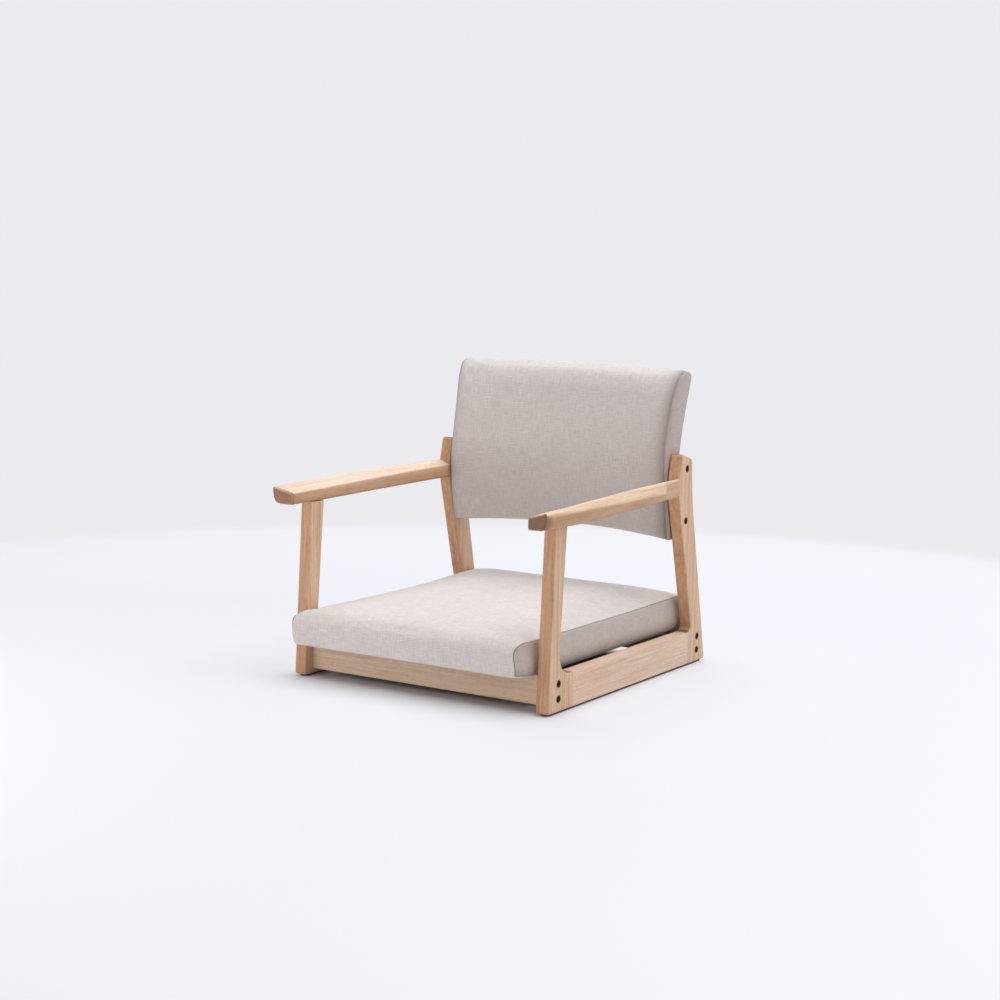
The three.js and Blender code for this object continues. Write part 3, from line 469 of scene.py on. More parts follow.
beech = plain_wood("planed_beech", UP, "#D6AE80", "#B98A5A")
plywood = plain_wood("birch_plywood", LENGTHWISE, "#E2C79A", "#B68E5E", plies=1.5 * MM)
zinc_steel = metal("zinc_plated_steel", "#C9CCD0", "#A9ADB2", 0.36)
black_steel = metal("black_oxide_steel", "#2A201B", "#17110E", 0.5)
felt = fibre_mat("pressed_wool_felt", "#403B38", "#5C5550", 1500.0, 0.4 * MM)
lining = fibre_mat("bonded_black_lining", "#1C1C1E", "#333336", 1100.0, 0.2 * MM)

ease_and_finish("tenon", beech)
ease_and_finish(("seat_board", "back_core"), plywood)
ease_and_finish(("barrel_nut", "back_insert", "seat_tee_nut"), zinc_steel)
ease_and_finish("felt_strip", felt)

# %% [markdown]
# ## Bolts and screws
# Two furniture bolts hold each end of each rail, and two more pass through each post into the back. All are the
# same turned steel bolt: a plain shank, a low round head with its rim broken by a small chamfer, and a hexagon
# socket. Four flatter screws come up through the rails into the seat board. A Geometry Nodes tree turns one
# bolt from its named sizes, puts a copy at each point it is given and turns it as the point says.

# %% Trees that make one small thing and set copies of it
def copying_tree(name, sizes):
    """A Geometry Nodes tree with named sizes in mm: its steps, its inputs and each input's identifier."""
    tree = bpy.data.node_groups.new(name, "GeometryNodeTree")
    identifiers = {}
    kinds = {"Places": "Geometry", **dict.fromkeys(sizes, "Float"), "Finish": "Material"}
    for label, kind in kinds.items():
        socket = tree.interface.new_socket(label, in_out="INPUT", socket_type="NodeSocket" + kind)
        identifiers[label] = socket.identifier
        if label in sizes:
            socket.default_value = sizes[label] * MM
    tree.interface.new_socket("Copies", in_out="OUTPUT", socket_type="NodeSocketGeometry")
    steps = Steps(tree)
    print(name, "takes", ", ".join(identifiers))
    return steps, steps.add("NodeGroupInput").outputs, identifiers


def copy_to_places(steps, given, shape, axis):
    """The last steps of such a tree: that axis of each copy lies the way that its point says."""
    way = steps.add("GeometryNodeInputNamedAttribute", {"Name": "way"}, data_type="FLOAT_VECTOR")
    facing = steps.out("FunctionNodeAlignRotationToVector", {"Vector": way.outputs["Attribute"]}, axis=axis)
    copies = steps.out("GeometryNodeInstanceOnPoints", {
        "Points": given["Places"], "Instance": shape, "Rotation": facing})
    solid = steps.out("GeometryNodeRealizeInstances", {"Geometry": copies})
    painted = steps.out("GeometryNodeSetMaterial", {"Geometry": solid, "Material": given["Finish"]})
    steps.add("NodeGroupOutput", {"Copies": painted})


def set_copies(name, tree, identifiers, places, ways, finish, sizes):
    """A piece made of one copy at each place in mm, facing its way, with its sizes in mm."""
    mesh = bpy.data.meshes.new(name + "_points")
    mesh.from_pydata([tuple(place) for place in np.array(places) * MM], [], [])
    mesh.attributes.new("way", "FLOAT_VECTOR", "POINT").data.foreach_set("vector", np.ravel(ways))
    holder = new_object(name + "_points", mesh)
    modifier = holder.modifiers.new("copies", "NODES")
    modifier.node_group = tree
    modifier[identifiers["Finish"]] = finish
    for size, value in sizes.items():
        modifier[identifiers[size]] = value * MM
    bpy.context.view_layer.update()
    shape = bpy.data.meshes.new_from_object(holder.evaluated_get(bpy.context.evaluated_depsgraph_get()))
    shape.name = name
    bpy.data.objects.remove(holder)
    print(name, len(places), "copies,", len(shape.polygons), "faces")
    return new_object(name, shape)


# %% The bolt tree
BOLT_SIZES = {"Head diameter": 10.0, "Head height": 6.0, "Chamfer": 0.8, "Socket width": 5.0,
              "Socket depth": 3.0, "Shank diameter": 6.0, "Shank length": 50.0}
bolting, given, bolt_inputs = copying_tree("socket_bolts", BOLT_SIZES)


def turned_part(low_radius, high_radius, depth, low_z, sides=32):
    """A cone or cylinder that stands on low_z."""
    shape = bolting.add("GeometryNodeMeshCone", {
        "Vertices": sides, "Radius Top": high_radius, "Radius Bottom": low_radius, "Depth": depth},
        fill_type="NGON")
    return bolting.out("GeometryNodeTransform", {
        "Geometry": shape.outputs["Mesh"], "Translation": bolting.upright(low_z)})


head_radius, shank_radius, key_radius = (
    bolting.maths("MULTIPLY", given[size], 0.5) for size in ("Head diameter", "Shank diameter", "Socket width"))
head_wall = bolting.maths("SUBTRACT", given["Head height"], given["Chamfer"])
rim_radius = bolting.maths("SUBTRACT", head_radius, given["Chamfer"])
wall = turned_part(head_radius, head_radius, head_wall, 0.0)
rim = turned_part(head_radius, rim_radius, given["Chamfer"], head_wall)
head = bolting.add("GeometryNodeMeshBoolean", {"Mesh 2": [rim, wall]}, operation="UNION", solver="EXACT")
# The cutter for the hexagon stands on the socket's floor and reaches out past the head.
key_floor = bolting.maths("SUBTRACT", given["Head height"], given["Socket depth"])
key = turned_part(key_radius, key_radius, bolting.maths("MULTIPLY", given["Socket depth"], 1.5), key_floor, 6)
socketed = bolting.add("GeometryNodeMeshBoolean", {"Mesh 1": head.outputs["Mesh"], "Mesh 2": key},
                       operation="DIFFERENCE", solver="EXACT")
shank = turned_part(shank_radius, shank_radius, given["Shank length"],
                    bolting.maths("MULTIPLY", given["Shank length"], -1.0), 20)
whole = bolting.out("GeometryNodeJoinGeometry", {0: [shank, socketed.outputs["Mesh"]]})
copy_to_places(bolting, given, whole, "Z")
print("bolt tree nodes:", len(bolting.tree.nodes))


# %% Set the bolts
def bolt_set(name, starts_with, along, measured_head, sizes):
    """Bolts on the axes of the measured ones, their heads on the same seats. A measured head is measured_head
    mm high."""
    replaced = sorted(n for n in nodes if n.startswith(starts_with))
    places, ways = [], []
    for node in replaced:
        low, high = box_mm(node)
        middle = (low + high) / 2
        out = -1.0 if along == 2 else math.copysign(1.0, middle[along])
        middle[along] = (high if out > 0 else low)[along] - out * measured_head
        places.append(middle)
        ways.append([out if axis == along else 0.0 for axis in range(3)])
    piece = set_copies(name, bolting.tree, bolt_inputs, places, ways, black_steel, {**BOLT_SIZES, **sizes})
    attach(piece, "root")
    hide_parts(*replaced)


BOLT_HEAD, SCREW_HEAD = 5.5, 4.0
bolt_set("frame_bolts", "frame_bolt", 0, BOLT_HEAD, {})
bolt_set("back_bolts", "back_bolt", 0, BOLT_HEAD, {"Shank length": 34.0})
screw_low, screw_high = box_mm("seat_screw_front_left")
bolt_set("seat_screws", "seat_screw", 2, SCREW_HEAD, {
    "Head diameter": 12.0, "Head height": SCREW_HEAD, "Chamfer": 1.2, "Socket depth": 2.4,
    "Shank length": screw_high[2] - screw_low[2] - SCREW_HEAD})


# %% [markdown]
# ## Linen-look upholstery cloth
# The cover is a plain weave in a warm grey beige. Such cloth is spun unevenly: some threads are thicker and
# darker for a few centimetres (slubs), they lie across each other, and pale flecks show between them. The cloth
# is matt, with a faint bloom where its fibres catch the light at a low angle. Its pattern follows the cloth and
# not space, so every panel has a UV map in metres, laid out as the panel was cut.

# %% Weave the cloth
THREADS_APART = 1.5


def linen(name, pale="#EFE9E4", dark="#C5B8AF", side_panel_shade="#E2DCDA", seam_shade="#5E4A3C"):
    """Woven cloth. Threads run along the two axes of the UV map, which is in metres."""
    material, steps = new_material(name)
    cloth = steps.out("ShaderNodeUVMap", uv_map="cloth")

    # Slubs: long thin streaks along each thread direction, 1.3 mm wide and about 22 mm long.
    crossed = steps.maths("ADD", *(
        steps.noise(steps.scaled(cloth, scale, (scale[0] * 0.01, 3.0, 0.0)), roughness=0.55, flat=True)
        for scale in ((770.0, 45.0, 1.0), (45.0, 770.0, 1.0))))
    slubs = steps.ramp(crossed, 0.74, 1.26)
    # The weave itself: real threads lie 0.5 mm apart, which no picture of the whole chair can show, so they are
    # drawn 1.5 mm apart, one over, one under.
    weave = steps.maths("MULTIPLY", *(
        steps.maths("SINE", steps.maths("MULTIPLY", steps.part(cloth, axis), math.pi / (THREADS_APART * MM)))
        for axis in "XY"))
    # Flecks about 1 mm across, and a slow cloudiness as cloth has from dyeing.
    flecks = steps.ramp(steps.noise(cloth, 620.0, roughness=0.7, flat=True), 0.3, 0.7, -0.16, 0.16)
    clouds = steps.ramp(steps.noise(cloth, 22.0, 3.0, roughness=0.6, flat=True), 0.3, 0.7, -0.10, 0.10)
    pattern = steps.total(slubs, flecks, clouds, steps.maths("MULTIPLY", weave, 0.07))
    colour = steps.mix(steps.maths("MULTIPLY_ADD", pattern, 0.46, 0.10), pale, dark)

    # The side panels are painted a little darker, as painted shade of faces that look sideways. Through the
    # in_shade attribute, painted shade darkens the cloth deep in the seams and in other hollows.
    panel, in_shade = (steps.add("ShaderNodeAttribute", attribute_name=attribute).outputs["Fac"]
                       for attribute in ("side_panel", "in_shade"))
    colour = steps.mix(panel, colour, side_panel_shade, "MULTIPLY")
    steps.principled({
        "Base Color": steps.mix(in_shade, colour, seam_shade),
        "Normal": steps.bump(steps.maths("MULTIPLY_ADD", weave, 0.5, slubs), 0.45, 0.3 * MM),
        "Roughness": 0.93, "IOR": 1.45, "Sheen Weight": 0.12, "Sheen Roughness": 0.5})
    return material


upholstery = linen("linen_look_upholstery")

# %% [markdown]
# ## Cutting and sewing
# A box cushion is cut as flat panels and sewn together along its edges. Each pad here starts the same way, as
# the skin of a box laid out in rows, so that a seam is a row of points that is easy to find, to hold still while
# the pad is stuffed, and to pull in afterwards. Rows are close together at the seams and wider in the middle.

# %% Panels in rows
FINEST_ROW = 1.7


def graded(length, most, growth=1.35):
    """Places from 0 to length, in fine steps at both ends that grow to `most` in the middle."""
    steps = [FINEST_ROW]
    while sum(steps) < length / 2:
        steps.append(min(most, steps[-1] * growth))
    half = np.concatenate([[0.0], np.cumsum(steps)])
    half *= length / 2 / half[-1]
    return np.concatenate([half, (length - half[:-1])[::-1]])


def cut_box(*sizes):
    """The skin of a box whose sizes are (length, widest row). Returns the places of the rows along each axis,
    the last row of each, each point's rows and its place, and the faces and which are in the side panels."""
    places = [graded(*size) for size in sizes]
    last = np.array([len(along) - 1 for along in places])
    across, deep, high = last
    i, j, k = np.indices(last + 1)
    skin = (i % across == 0) | (j % deep == 0) | (k % high == 0)
    number = np.full(skin.shape, -1)
    number[skin] = np.arange(skin.sum())
    sheets = {
        "top": number[:, :, high], "bottom": number[:, ::-1, 0], "front": number[:, 0, :],
        "rear": number[::-1, deep, :], "right": number[across, :, :], "left": number[0, ::-1, :],
    }
    faces = [np.stack([corner.ravel() for corner in (
        sheet[:-1, :-1], sheet[1:, :-1], sheet[1:, 1:], sheet[:-1, 1:])], axis=1) for sheet in sheets.values()]
    is_side = np.repeat([panel in ("right", "left") for panel in sheets], [len(quads) for quads in faces])
    rows = np.argwhere(skin)
    return places, last, rows, [places[axis][rows[:, axis]] for axis in range(3)], np.concatenate(faces), is_side


def inwards(place, size):
    """The distance from the nearer end."""
    return np.minimum(place, size - place)


def round_edge(from_a, from_b, radius):
    """Turns the square edge of two faces into a quarter circle. The distances are inwards from each face."""
    u, v = np.clip(radius - from_a, 0, None), np.clip(radius - from_b, 0, None)
    both = (u > 0) & (v > 0)
    share = np.where(both, np.maximum(u, v) / np.maximum(np.hypot(u, v), 1e-9), 1.0)
    return np.where(both, radius - u * share, from_a), np.where(both, radius - v * share, from_b)


def step_up(value, low, high):
    """0 below low, 1 above high, and a smooth rise between."""
    t = np.clip((value - low) / (high - low), 0, 1)
    return t * t * (3 - 2 * t)


def fade(distance, reach):
    """1 at no distance, and evenly down to 0 at the reach."""
    return np.clip(1 - distance / reach, 0, 1)


def sew(name, points, faces, is_side, in_shade, wrap, side):
    """A mesh from points in mm. wrap and side say where each point lies in the cloth, in mm, for the faces of
    the wrap and of the side panels, and in_shade how much painted shade it has, in its seams and elsewhere."""
    mesh = bpy.data.meshes.new(name)
    mesh.from_pydata((points * MM).tolist(), [], faces.tolist())
    mesh.shade_smooth()
    layout = np.where(is_side[:, None, None], side[faces], wrap[faces])
    mesh.uv_layers.new(name="cloth").uv.foreach_set("vector", (layout * MM).ravel())
    mesh.attributes.new("in_shade", "FLOAT", "POINT").data.foreach_set("value", in_shade)
    corners = np.repeat(is_side.astype(float), 4)
    mesh.attributes.new("side_panel", "FLOAT", "CORNER").data.foreach_set("value", corners)
    return new_object(name, mesh)


def seam_line(distance):
    """The share of shade at a distance in mm from a seam."""
    return 0.85 * fade(distance, 1.8)


def read(vertices, what="co"):
    """Three values of each point, its place or its normal."""
    flat = np.empty(len(vertices) * 3)
    vertices.foreach_get(what, flat)
    return flat.reshape(-1, 3)


def move_to(piece, points):
    piece.data.vertices.foreach_set("co", (points * MM).ravel())
    piece.data.update()


print("rows across a 460 mm panel:", len(graded(460, 7.5)))

# %% [markdown]
# ## Stuffing
# Foam pushes a sewn cover outwards, and the cover can only bulge between its seams. Blender's cloth solver does
# the same when the air in a closed cover is given some pressure: the seams and the stapled edge are pinned, the
# panels swell and find the shape that cloth takes. How far a point may move is limited, because firm foam in a
# tight cover swells only a few millimetres. A seam is drawn in by its thread, with small puckers beside it.

# %% Stuff a cover, pull its seams and finish the pad
LAST_STEP, SMOOTHINGS = 20, 12
FOAM_COVER = {
    "quality": 5, "mass": 0.3, "tension_stiffness": 25.0, "compression_stiffness": 25.0, "shear_stiffness": 8.0,
    "bending_stiffness": 1.5, "air_damping": 2.0, "use_pressure": True,
}


def stuff(piece, pinned, pressure, most):
    """Swells a closed cover between its pinned points, by at most that many mm."""
    before = read(piece.data.vertices) / MM
    group = piece.vertex_groups.new(name="held")
    group.add(np.flatnonzero(pinned).tolist(), 1.0, "REPLACE")
    modifier = piece.modifiers.new("cloth", "CLOTH")
    cloth = modifier.settings
    for setting, value in FOAM_COVER.items():
        setattr(cloth, setting, value)
    cloth.vertex_group_mass = group.name
    cloth.uniform_pressure_force = pressure
    cloth.effector_weights.gravity = 0.0
    modifier.collision_settings.use_collision = False
    modifier.point_cache.frame_start, modifier.point_cache.frame_end = 1, LAST_STEP
    for step in range(1, LAST_STEP + 1):
        scene.frame_set(step)
    settled = piece.evaluated_get(bpy.context.evaluated_depsgraph_get())
    moved = read(settled.data.vertices) / MM - before
    piece.modifiers.remove(modifier)
    piece.vertex_groups.remove(group)
    scene.frame_set(1)
    # Tight cloth over foam doesn't crease, so each point takes on the mean move of its neighbours.
    one, other = np.array([edge.vertices[:] for edge in piece.data.edges]).T
    count = np.bincount(np.append(one, other), minlength=len(moved))[:, None]
    for _ in range(SMOOTHINGS):
        around = np.stack([np.bincount(one, moved[other, axis], len(moved))
                           + np.bincount(other, moved[one, axis], len(moved)) for axis in range(3)], axis=1)
        moved = np.where(pinned[:, None], 0.0, around / count)
    length = np.linalg.norm(moved, axis=1, keepdims=True)
    moved *= most * np.tanh(length / most) / np.maximum(length, 1e-9)
    move_to(piece, before + moved)
    print(piece.name, "swelled", round(float(length.max()), 1), "mm before the limit")


def pull_seams(piece, seam, along, depth, pucker, width=0.16):
    """Draws the seams in and lays puckers beside them. seam is 1 on a seam and falls to 0 away from it, and
    along is the distance along it in mm."""
    beside = np.exp(-((1.0 - seam) / 0.45) ** 2) * (seam < 0.999) * (seam > 0)
    ripple = np.sin(along / 2.1 + 1.7 * np.sin(along / 17.0)) + 0.6 * np.sin(along / 3.7 + 2.0)
    change = -depth * np.exp(-((1.0 - seam) / width) ** 2) * (seam > 0) + pucker * ripple * beside
    vertices = piece.data.vertices
    move_to(piece, read(vertices) / MM + read(vertices, "normal") * change[:, None])


def finish_pad(piece, stands_for):
    """Cloth, one subdivision and what the frame needs to know of a pad."""
    piece.data.materials.append(upholstery)
    finer = piece.modifiers.new("finer", "SUBSURF")
    finer.levels = finer.render_levels = 1
    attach(piece, "root")
    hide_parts(stands_for)
    print(piece.name, len(piece.data.vertices), "points")


# %% [markdown]
# ## The seat pad
# One length of cloth runs over the top and down the front and the rear, where it rolls over a soft edge. A side
# panel closes each end, and the seam follows its upper edge and turns down at the corners. The cloth is stapled
# under the seat board, so the pad has a hollow below in which the board lies. On the chair in the picture the
# pad sits a few millimetres nearer to the left frame, more so at its front corner, which bulges past the leg.

# %% Cut the seat pad
SEAM_UP, FRONT_ROLL, REAR_ROLL, LOW_ROLL = 57.0, 22.0, 11.0, 5.0
BOARD_RISE, GROOVE_REACH = 15.7, 9.0
CROWN, REAR_CROWN, LEFT_EAR, RIGHT_EAR, WAIST, SAG_BESIDE_RAIL = 12.5, 3.5, 6.0, 2.5, 2.5, 3.2
PANEL_APART = 700.0
seat_low, seat_high = box_mm("seat_cushion")
# The cover is cut 3 mm narrower and 2 mm shallower than the measured pad, because stuffing swells it.
wide, deep = seat_high[0] - seat_low[0] - 3.0, seat_high[1] - seat_low[1] - 2.0
(seat_x, seat_y, _), last, rows, (x, y, z), faces, is_side = cut_box(
    (wide, 7.5), (deep, 7.5), (SEAM_UP, 6.0))

on_end = rows[:, 0] % last[0] == 0
on_wrap = (rows[:, 1] % last[1] == 0) | (rows[:, 2] == last[2])
underneath = rows[:, 2] == 0
seat_seam = on_end & on_wrap
right, rear, top = x > wide / 2, y > deep / 2, z > SEAM_UP / 2

in_x, in_y, in_z = inwards(x, wide), inwards(y, deep), inwards(z, SEAM_UP)
left_corner = ~right * (1 - step_up(y, 15.0, 80.0))
front_roll = FRONT_ROLL + 6.0 * fade(wide - x, 60.0)
in_y, in_z = round_edge(in_y, in_z, np.where(top, np.where(rear, REAR_ROLL, front_roll), LOW_ROLL))
in_x, in_y = round_edge(in_x, in_y, np.where(rear, 12.0, 11.0))
in_x, in_z = round_edge(in_x, in_z, np.where(top, 3.0 + 13.0 * left_corner, 9.0))

# The hollow below: a rim 9 mm wide turns up round the board. Row by row from the edge: (inset, height).
rim = {4: (9.4, 0.0), 5: (9.4, 0.95), 6: (6.6, 0.95), 7: (6.6, BOARD_RISE)}
ring = np.minimum(inwards(rows[:, 0], last[0]), inwards(rows[:, 1], last[1]))
for row in range(4, ring[underneath].max() + 1):
    inset, rise = rim.get(row, (None, BOARD_RISE))
    here = underneath & (ring == row)
    in_z[here] = rise
    if inset is not None:
        for depth_in, places, size in ((in_x, seat_x, wide), (in_y, seat_y, deep)):
            stretch = (size / 2 - inset) / (size / 2 - places[row])
            depth_in[here] = inset + (depth_in[here] - places[row]) * stretch

px = np.where(right, wide - in_x, in_x) - wide / 2
py = np.where(rear, deep - in_y, in_y)
pz = np.where(top, SEAM_UP - in_z, in_z)

# Crown: the top rises quickly from its edges and is nearly flat in the middle. The rear corners stand up.
share_x, share_y = np.abs(px) / (wide / 2), np.abs(py / deep * 2 - 1)
crown = (1 - share_x ** 7) * (1 - np.clip(share_y, 0, 1) ** 9)
pz += np.where(underneath, 0.0, (CROWN + REAR_CROWN * rear * share_y) * crown * (pz / SEAM_UP) ** 2)
ears = np.where(right, RIGHT_EAR, LEFT_EAR) * share_x ** 3 * step_up(py / deep, 0.55, 1.0)
pz += np.where(underneath, 0.0, ears * (pz / SEAM_UP) ** 2)
# The long sides are drawn in a little between the corners.
px *= 1 - WAIST / (wide / 2) * np.sin(np.pi * np.clip(py / deep, 0, 1)) * (pz > 1)
# The pad's place on the rails: both ends lie to the left of where they were cut, and the front corners differ.
in_front, raised = 1 - step_up(py, 22.0, 50.0), step_up(pz, 10.0, SEAM_UP)
near_end = fade(wide / 2 - np.abs(px), 70.0)
right_shift = 0.5 + 14.0 * fade(py, 30.0) ** 2 * near_end + 3.5 * raised + 5.5 * in_front * raised
bulge = 6.0 + 4.0 * np.sin(np.pi * np.clip(pz / SEAM_UP, 0, 1))
left_shift = 2.5 + 1.5 * raised + (6.5 + bulge * near_end) * in_front
in_hollow = underneath & (ring > 4)
px -= np.where(in_hollow, 0.0, np.where(right, right_shift, left_shift))
# The lower edge of the long sides hangs a little below the board that it wraps.
beside_rail = np.clip(inwards(py, deep) / 60.0, 0, 1) * (1 - step_up(pz, 3.0, 26.0)) * (
    1 - step_up(wide / 2 - np.abs(px + 3.0), 7.0, 13.0))
pz -= np.where(in_hollow, 0.0, SAG_BESIDE_RAIL * beside_rail)
seat_points = np.stack([px, py + seat_low[1] + 1.0, pz + seat_low[2]], axis=1)

# How the panels were cut: the wrap unrolls along y, the side panels lie in y and z.
unrolled = y + np.where(rows[:, 1] == 0, z - SEAM_UP, 0) + np.where(rows[:, 1] == last[1], SEAM_UP - z, 0)
wrap_uv = np.stack([x, unrolled + PANEL_APART], axis=1)
side_uv = np.stack([y + 1500.0, z + np.where(right, 0, 200.0)], axis=1)

# How near each point is to a seam, 1 at the seam and 0 from the groove's reach on.
from_seam = np.where(on_end, np.minimum(inwards(y, deep), SEAM_UP - z), inwards(x, wide))
seat_near = np.where(underneath & (ring > 0), 0.0, fade(from_seam, GROOVE_REACH))
seat_along = y + np.where(rear, SEAM_UP - z, z - SEAM_UP)
low_shade = 0.42 * on_end * (1 - step_up(z, 0.0, 24.0))
seat_shade = np.where(underneath, 0.0, np.maximum(seam_line(from_seam), low_shade))
seat_pad = sew("seat_pad", seat_points, faces, is_side, seat_shade, wrap_uv, side_uv)
print("seat pad cut from", len(faces), "cells")

# %% Stuff the seat pad
stuff(seat_pad, seat_seam | underneath, 4.0, 5.0)
pull_seams(seat_pad, np.where(seat_seam, 1.0, seat_near * 0.99), seat_along, 1.5, 0.22)
finish_pad(seat_pad, "seat_cushion")

# %% [markdown]
# ## The back
# The back is a thin upholstered shell that is hollow across its width and leans backwards above the posts. Its
# front cover rolls over the top and under the bottom, a narrow side panel closes each end with a seam along the
# front edge, and a separate panel is set into the rear. Its section was drawn in shares of its height and
# thickness, then carried across the width along the hollow.

# %% Cut the back
HALF, THICK, TALL, BASE, REAR_FACE = 235.5, 55.0, 311.0, 232.0, 232.644
LEAN_FROM, LEAN_BEND = 385.0, 14.0
CORE_DEPTH, RIM, LOW_RIM, HIGH_RIM = 33.0, 4.6, 15.6, 23.6
HOLLOW, LEAN, FLARE, LOW_ARCH, TOP_BOW, SETTLED = 28.0, 33.0 / 158.0, 8.0, 8.0, 5.0, 2.6
SECTION = [
    (0.012, 0.66), (0.035, 0.75), (0.075, 0.8), (0.16, 0.87), (0.26, 0.95), (0.37, 1.0), (0.47, 1.01),
    (0.57, 1.0), (0.69, 0.99), (0.8, 0.97), (0.87, 0.945), (0.93, 0.86), (0.968, 0.74), (0.991, 0.58),
    (1.0, 0.42), (0.993, 0.25), (0.97, 0.1), (0.93, 0.02), (0.8, 0.0), (0.62, 0.0), (0.45, 0.0), (0.3, 0.0),
    (0.15, 0.0), (0.05, 0.02), (0.012, 0.1), (0.0, 0.3),
]
FRONT_HIGH, REAR_HIGH, REAR_LOW, CURVE_STEPS = 12, 16, 24, 40


def smooth_loop(corners):
    """A closed curve through the corners, as many points."""
    knots = np.array(corners)
    a, b, c, d = (np.roll(knots, shift, axis=0)[:, None] for shift in (1, 0, -1, -2))
    t = (np.arange(CURVE_STEPS) / CURVE_STEPS)[None, :, None]
    curve = 0.5 * (2 * b + (c - a) * t + (2 * a - 5 * b + 4 * c - d) * t ** 2
                   + (3 * b - a - 3 * c + d) * t ** 3)
    return curve.reshape(-1, 2)


def side_of_loop(start, end, shares):
    """Points at those shares of the way along the loop from one corner of the section to another."""
    part = loop[np.arange(start * CURVE_STEPS, end * CURVE_STEPS + 1) % len(loop)]
    way = np.concatenate([[0], np.cumsum(np.linalg.norm(np.diff(part, axis=0), axis=1))])
    return np.stack([np.interp(shares * way[-1], way, part[:, axis]) for axis in (0, 1)], axis=1)


def back_place(x, height, depth, across):
    """A point of the back: hollow across the width, leaning above its bend, depth in front of the rear face."""
    above = LEAN_BEND * np.logaddexp(0, (height - LEAN_FROM) / LEAN_BEND)
    rear_line = REAR_FACE + HOLLOW * np.clip(1 - (across / HALF) ** 2, 0, None) + LEAN * above
    return np.stack([x, rear_line - depth, height], axis=-1)


loop = smooth_loop([(BASE + up * TALL, deep * THICK) for up, deep in SECTION])
(back_x, back_d, back_h), last, rows, (x, d, h), faces, is_side = cut_box(
    (2 * HALF, 7.5), (THICK, 5.5), (TALL, 7.0))
share_d, share_h = back_d / THICK, back_h / TALL
front_line = side_of_loop(0, FRONT_HIGH, share_h)
top_line = side_of_loop(FRONT_HIGH, REAR_HIGH, share_d)
rear_line = side_of_loop(REAR_HIGH, REAR_LOW, 1 - share_h)
bottom_line = side_of_loop(REAR_LOW, len(SECTION), 1 - share_d)
# A side panel is filled in between the four lines, as the cloth is spanned between its four edges.
s, t = share_d[rows[:, 1]][:, None], share_h[rows[:, 2]][:, None]
height, depth = (
    (1 - s) * front_line[rows[:, 2]] + s * rear_line[rows[:, 2]]
    + (1 - t) * bottom_line[rows[:, 1]] + t * top_line[rows[:, 1]]
    - (1 - s) * (1 - t) * front_line[0] - s * (1 - t) * rear_line[0]
    - (1 - s) * t * front_line[-1] - s * t * rear_line[-1]).T.copy()

on_end = rows[:, 0] % last[0] == 0
on_wrap = (rows[:, 1] % last[1] == 0) | (rows[:, 2] % last[2] == 0)
in_rear = rows[:, 1] == last[1]
back_seam = on_end & on_wrap
from_end = inwards(x, 2 * HALF)
in_d = np.where(on_wrap, 0.0, np.minimum(inwards(d, THICK), inwards(h, TALL)))
in_x, new_d = round_edge(from_end, in_d, 3.5)
drawn_in = new_d - in_d
depth = THICK / 2 + (depth - THICK / 2) * (1 - 2 * drawn_in / THICK)
height = np.clip(height, BASE + drawn_in, BASE + TALL - drawn_in)

# The rear: a narrow rim, then the hollow that takes the plywood core and the rear panel.
ring = np.minimum(inwards(rows[:, 0], last[0]), inwards(rows[:, 2], last[2]))
low_half = h < TALL / 2
for row in range(2, ring[in_rear].max() + 1):
    here = in_rear & (ring == row)
    depth[here] = 0.0 if row == 2 else CORE_DEPTH
    base_row = min(row, 3)
    stretch = (HALF - RIM) / (HALF - back_x[base_row])
    in_x[here] = RIM + (in_x[here] - back_x[base_row]) * stretch
    first = back_h[base_row]
    for half, margin, end, sense in ((low_half, LOW_RIM, BASE, 1), (~low_half, HIGH_RIM, BASE + TALL, -1)):
        part = here & half
        way_in = sense * (height[part] - end)
        height[part] = end + sense * (margin + (way_in - first) * (TALL / 2 - margin) / (TALL / 2 - first))

across = np.where(x > HALF, 2 * HALF - in_x, in_x) - HALF
station = across / HALF
up = np.clip((height - BASE) / TALL, 0, 1)
flare = FLARE * np.clip(2 * up - 1, 0, None) ** 2
height += LOW_ARCH * (1 - station ** 2) * (1 - up) ** 2
# The top bows up a little, and the whole pad has settled a few millimetres lower at the right end.
height += (TOP_BOW * (1 - station ** 2) + SETTLED * (1 - station)) * up ** 2 * ~(in_rear & (ring > 1))
# Above the posts the side panels wrap round on to the front, so their seam lies a little in from the corner.
wrap = np.where(on_end, np.exp(-(d / 9.0) ** 2), fade(from_end, 60.0)) * (rows[:, 1] < last[1])
wrap *= 0.1 + 0.9 * step_up(height, 330.0, 425.0)
across -= np.where(across > 0, 6.5, -1.5) * wrap
back_points = back_place(across / HALF * (HALF + flare), height, depth, across)

girth = h + np.where(rows[:, 2] == last[2], d, 0) - np.where(rows[:, 2] == 0, d, 0)
wrap_uv = np.stack([x + 2400.0, girth + np.where(in_rear, 500.0, 0.0)], axis=1)
side_uv = np.stack([d + np.where(x > HALF, 3100.0, 3300.0), h], axis=1)
from_seam = np.where(on_end & ~on_wrap, in_d, from_end)
back_near = np.where(in_rear, 0.0, fade(from_seam, GROOVE_REACH))
# The whole back is a little darker than the seat. Painted shade lies beside the seams, most beside the right
# one, where it stands for the shade of a soft valley, and the cloth is painted darker and browner towards its
# lower edge.
BACK_TONE = 0.08
painted_valley_shade = np.where(on_end, 0.22 * np.exp(-from_seam / 7.0), np.where(
    across > 0, 0.64 * np.exp(-from_seam / 15.0), 0.30 * np.exp(-from_seam / 8.0)))
painted_low_shade = 0.19 * (1 - step_up(height, 225.0, 450.0))
back_shade = BACK_TONE + np.where(in_rear, 0.0, np.maximum(painted_valley_shade, 0.6 * seam_line(from_seam)) + painted_low_shade)
back_pad = sew("back_pad", back_points, faces, is_side, back_shade, wrap_uv, side_uv)
print("back cut from", len(faces), "cells; height", round(float(back_points[:, 2].max()), 1))

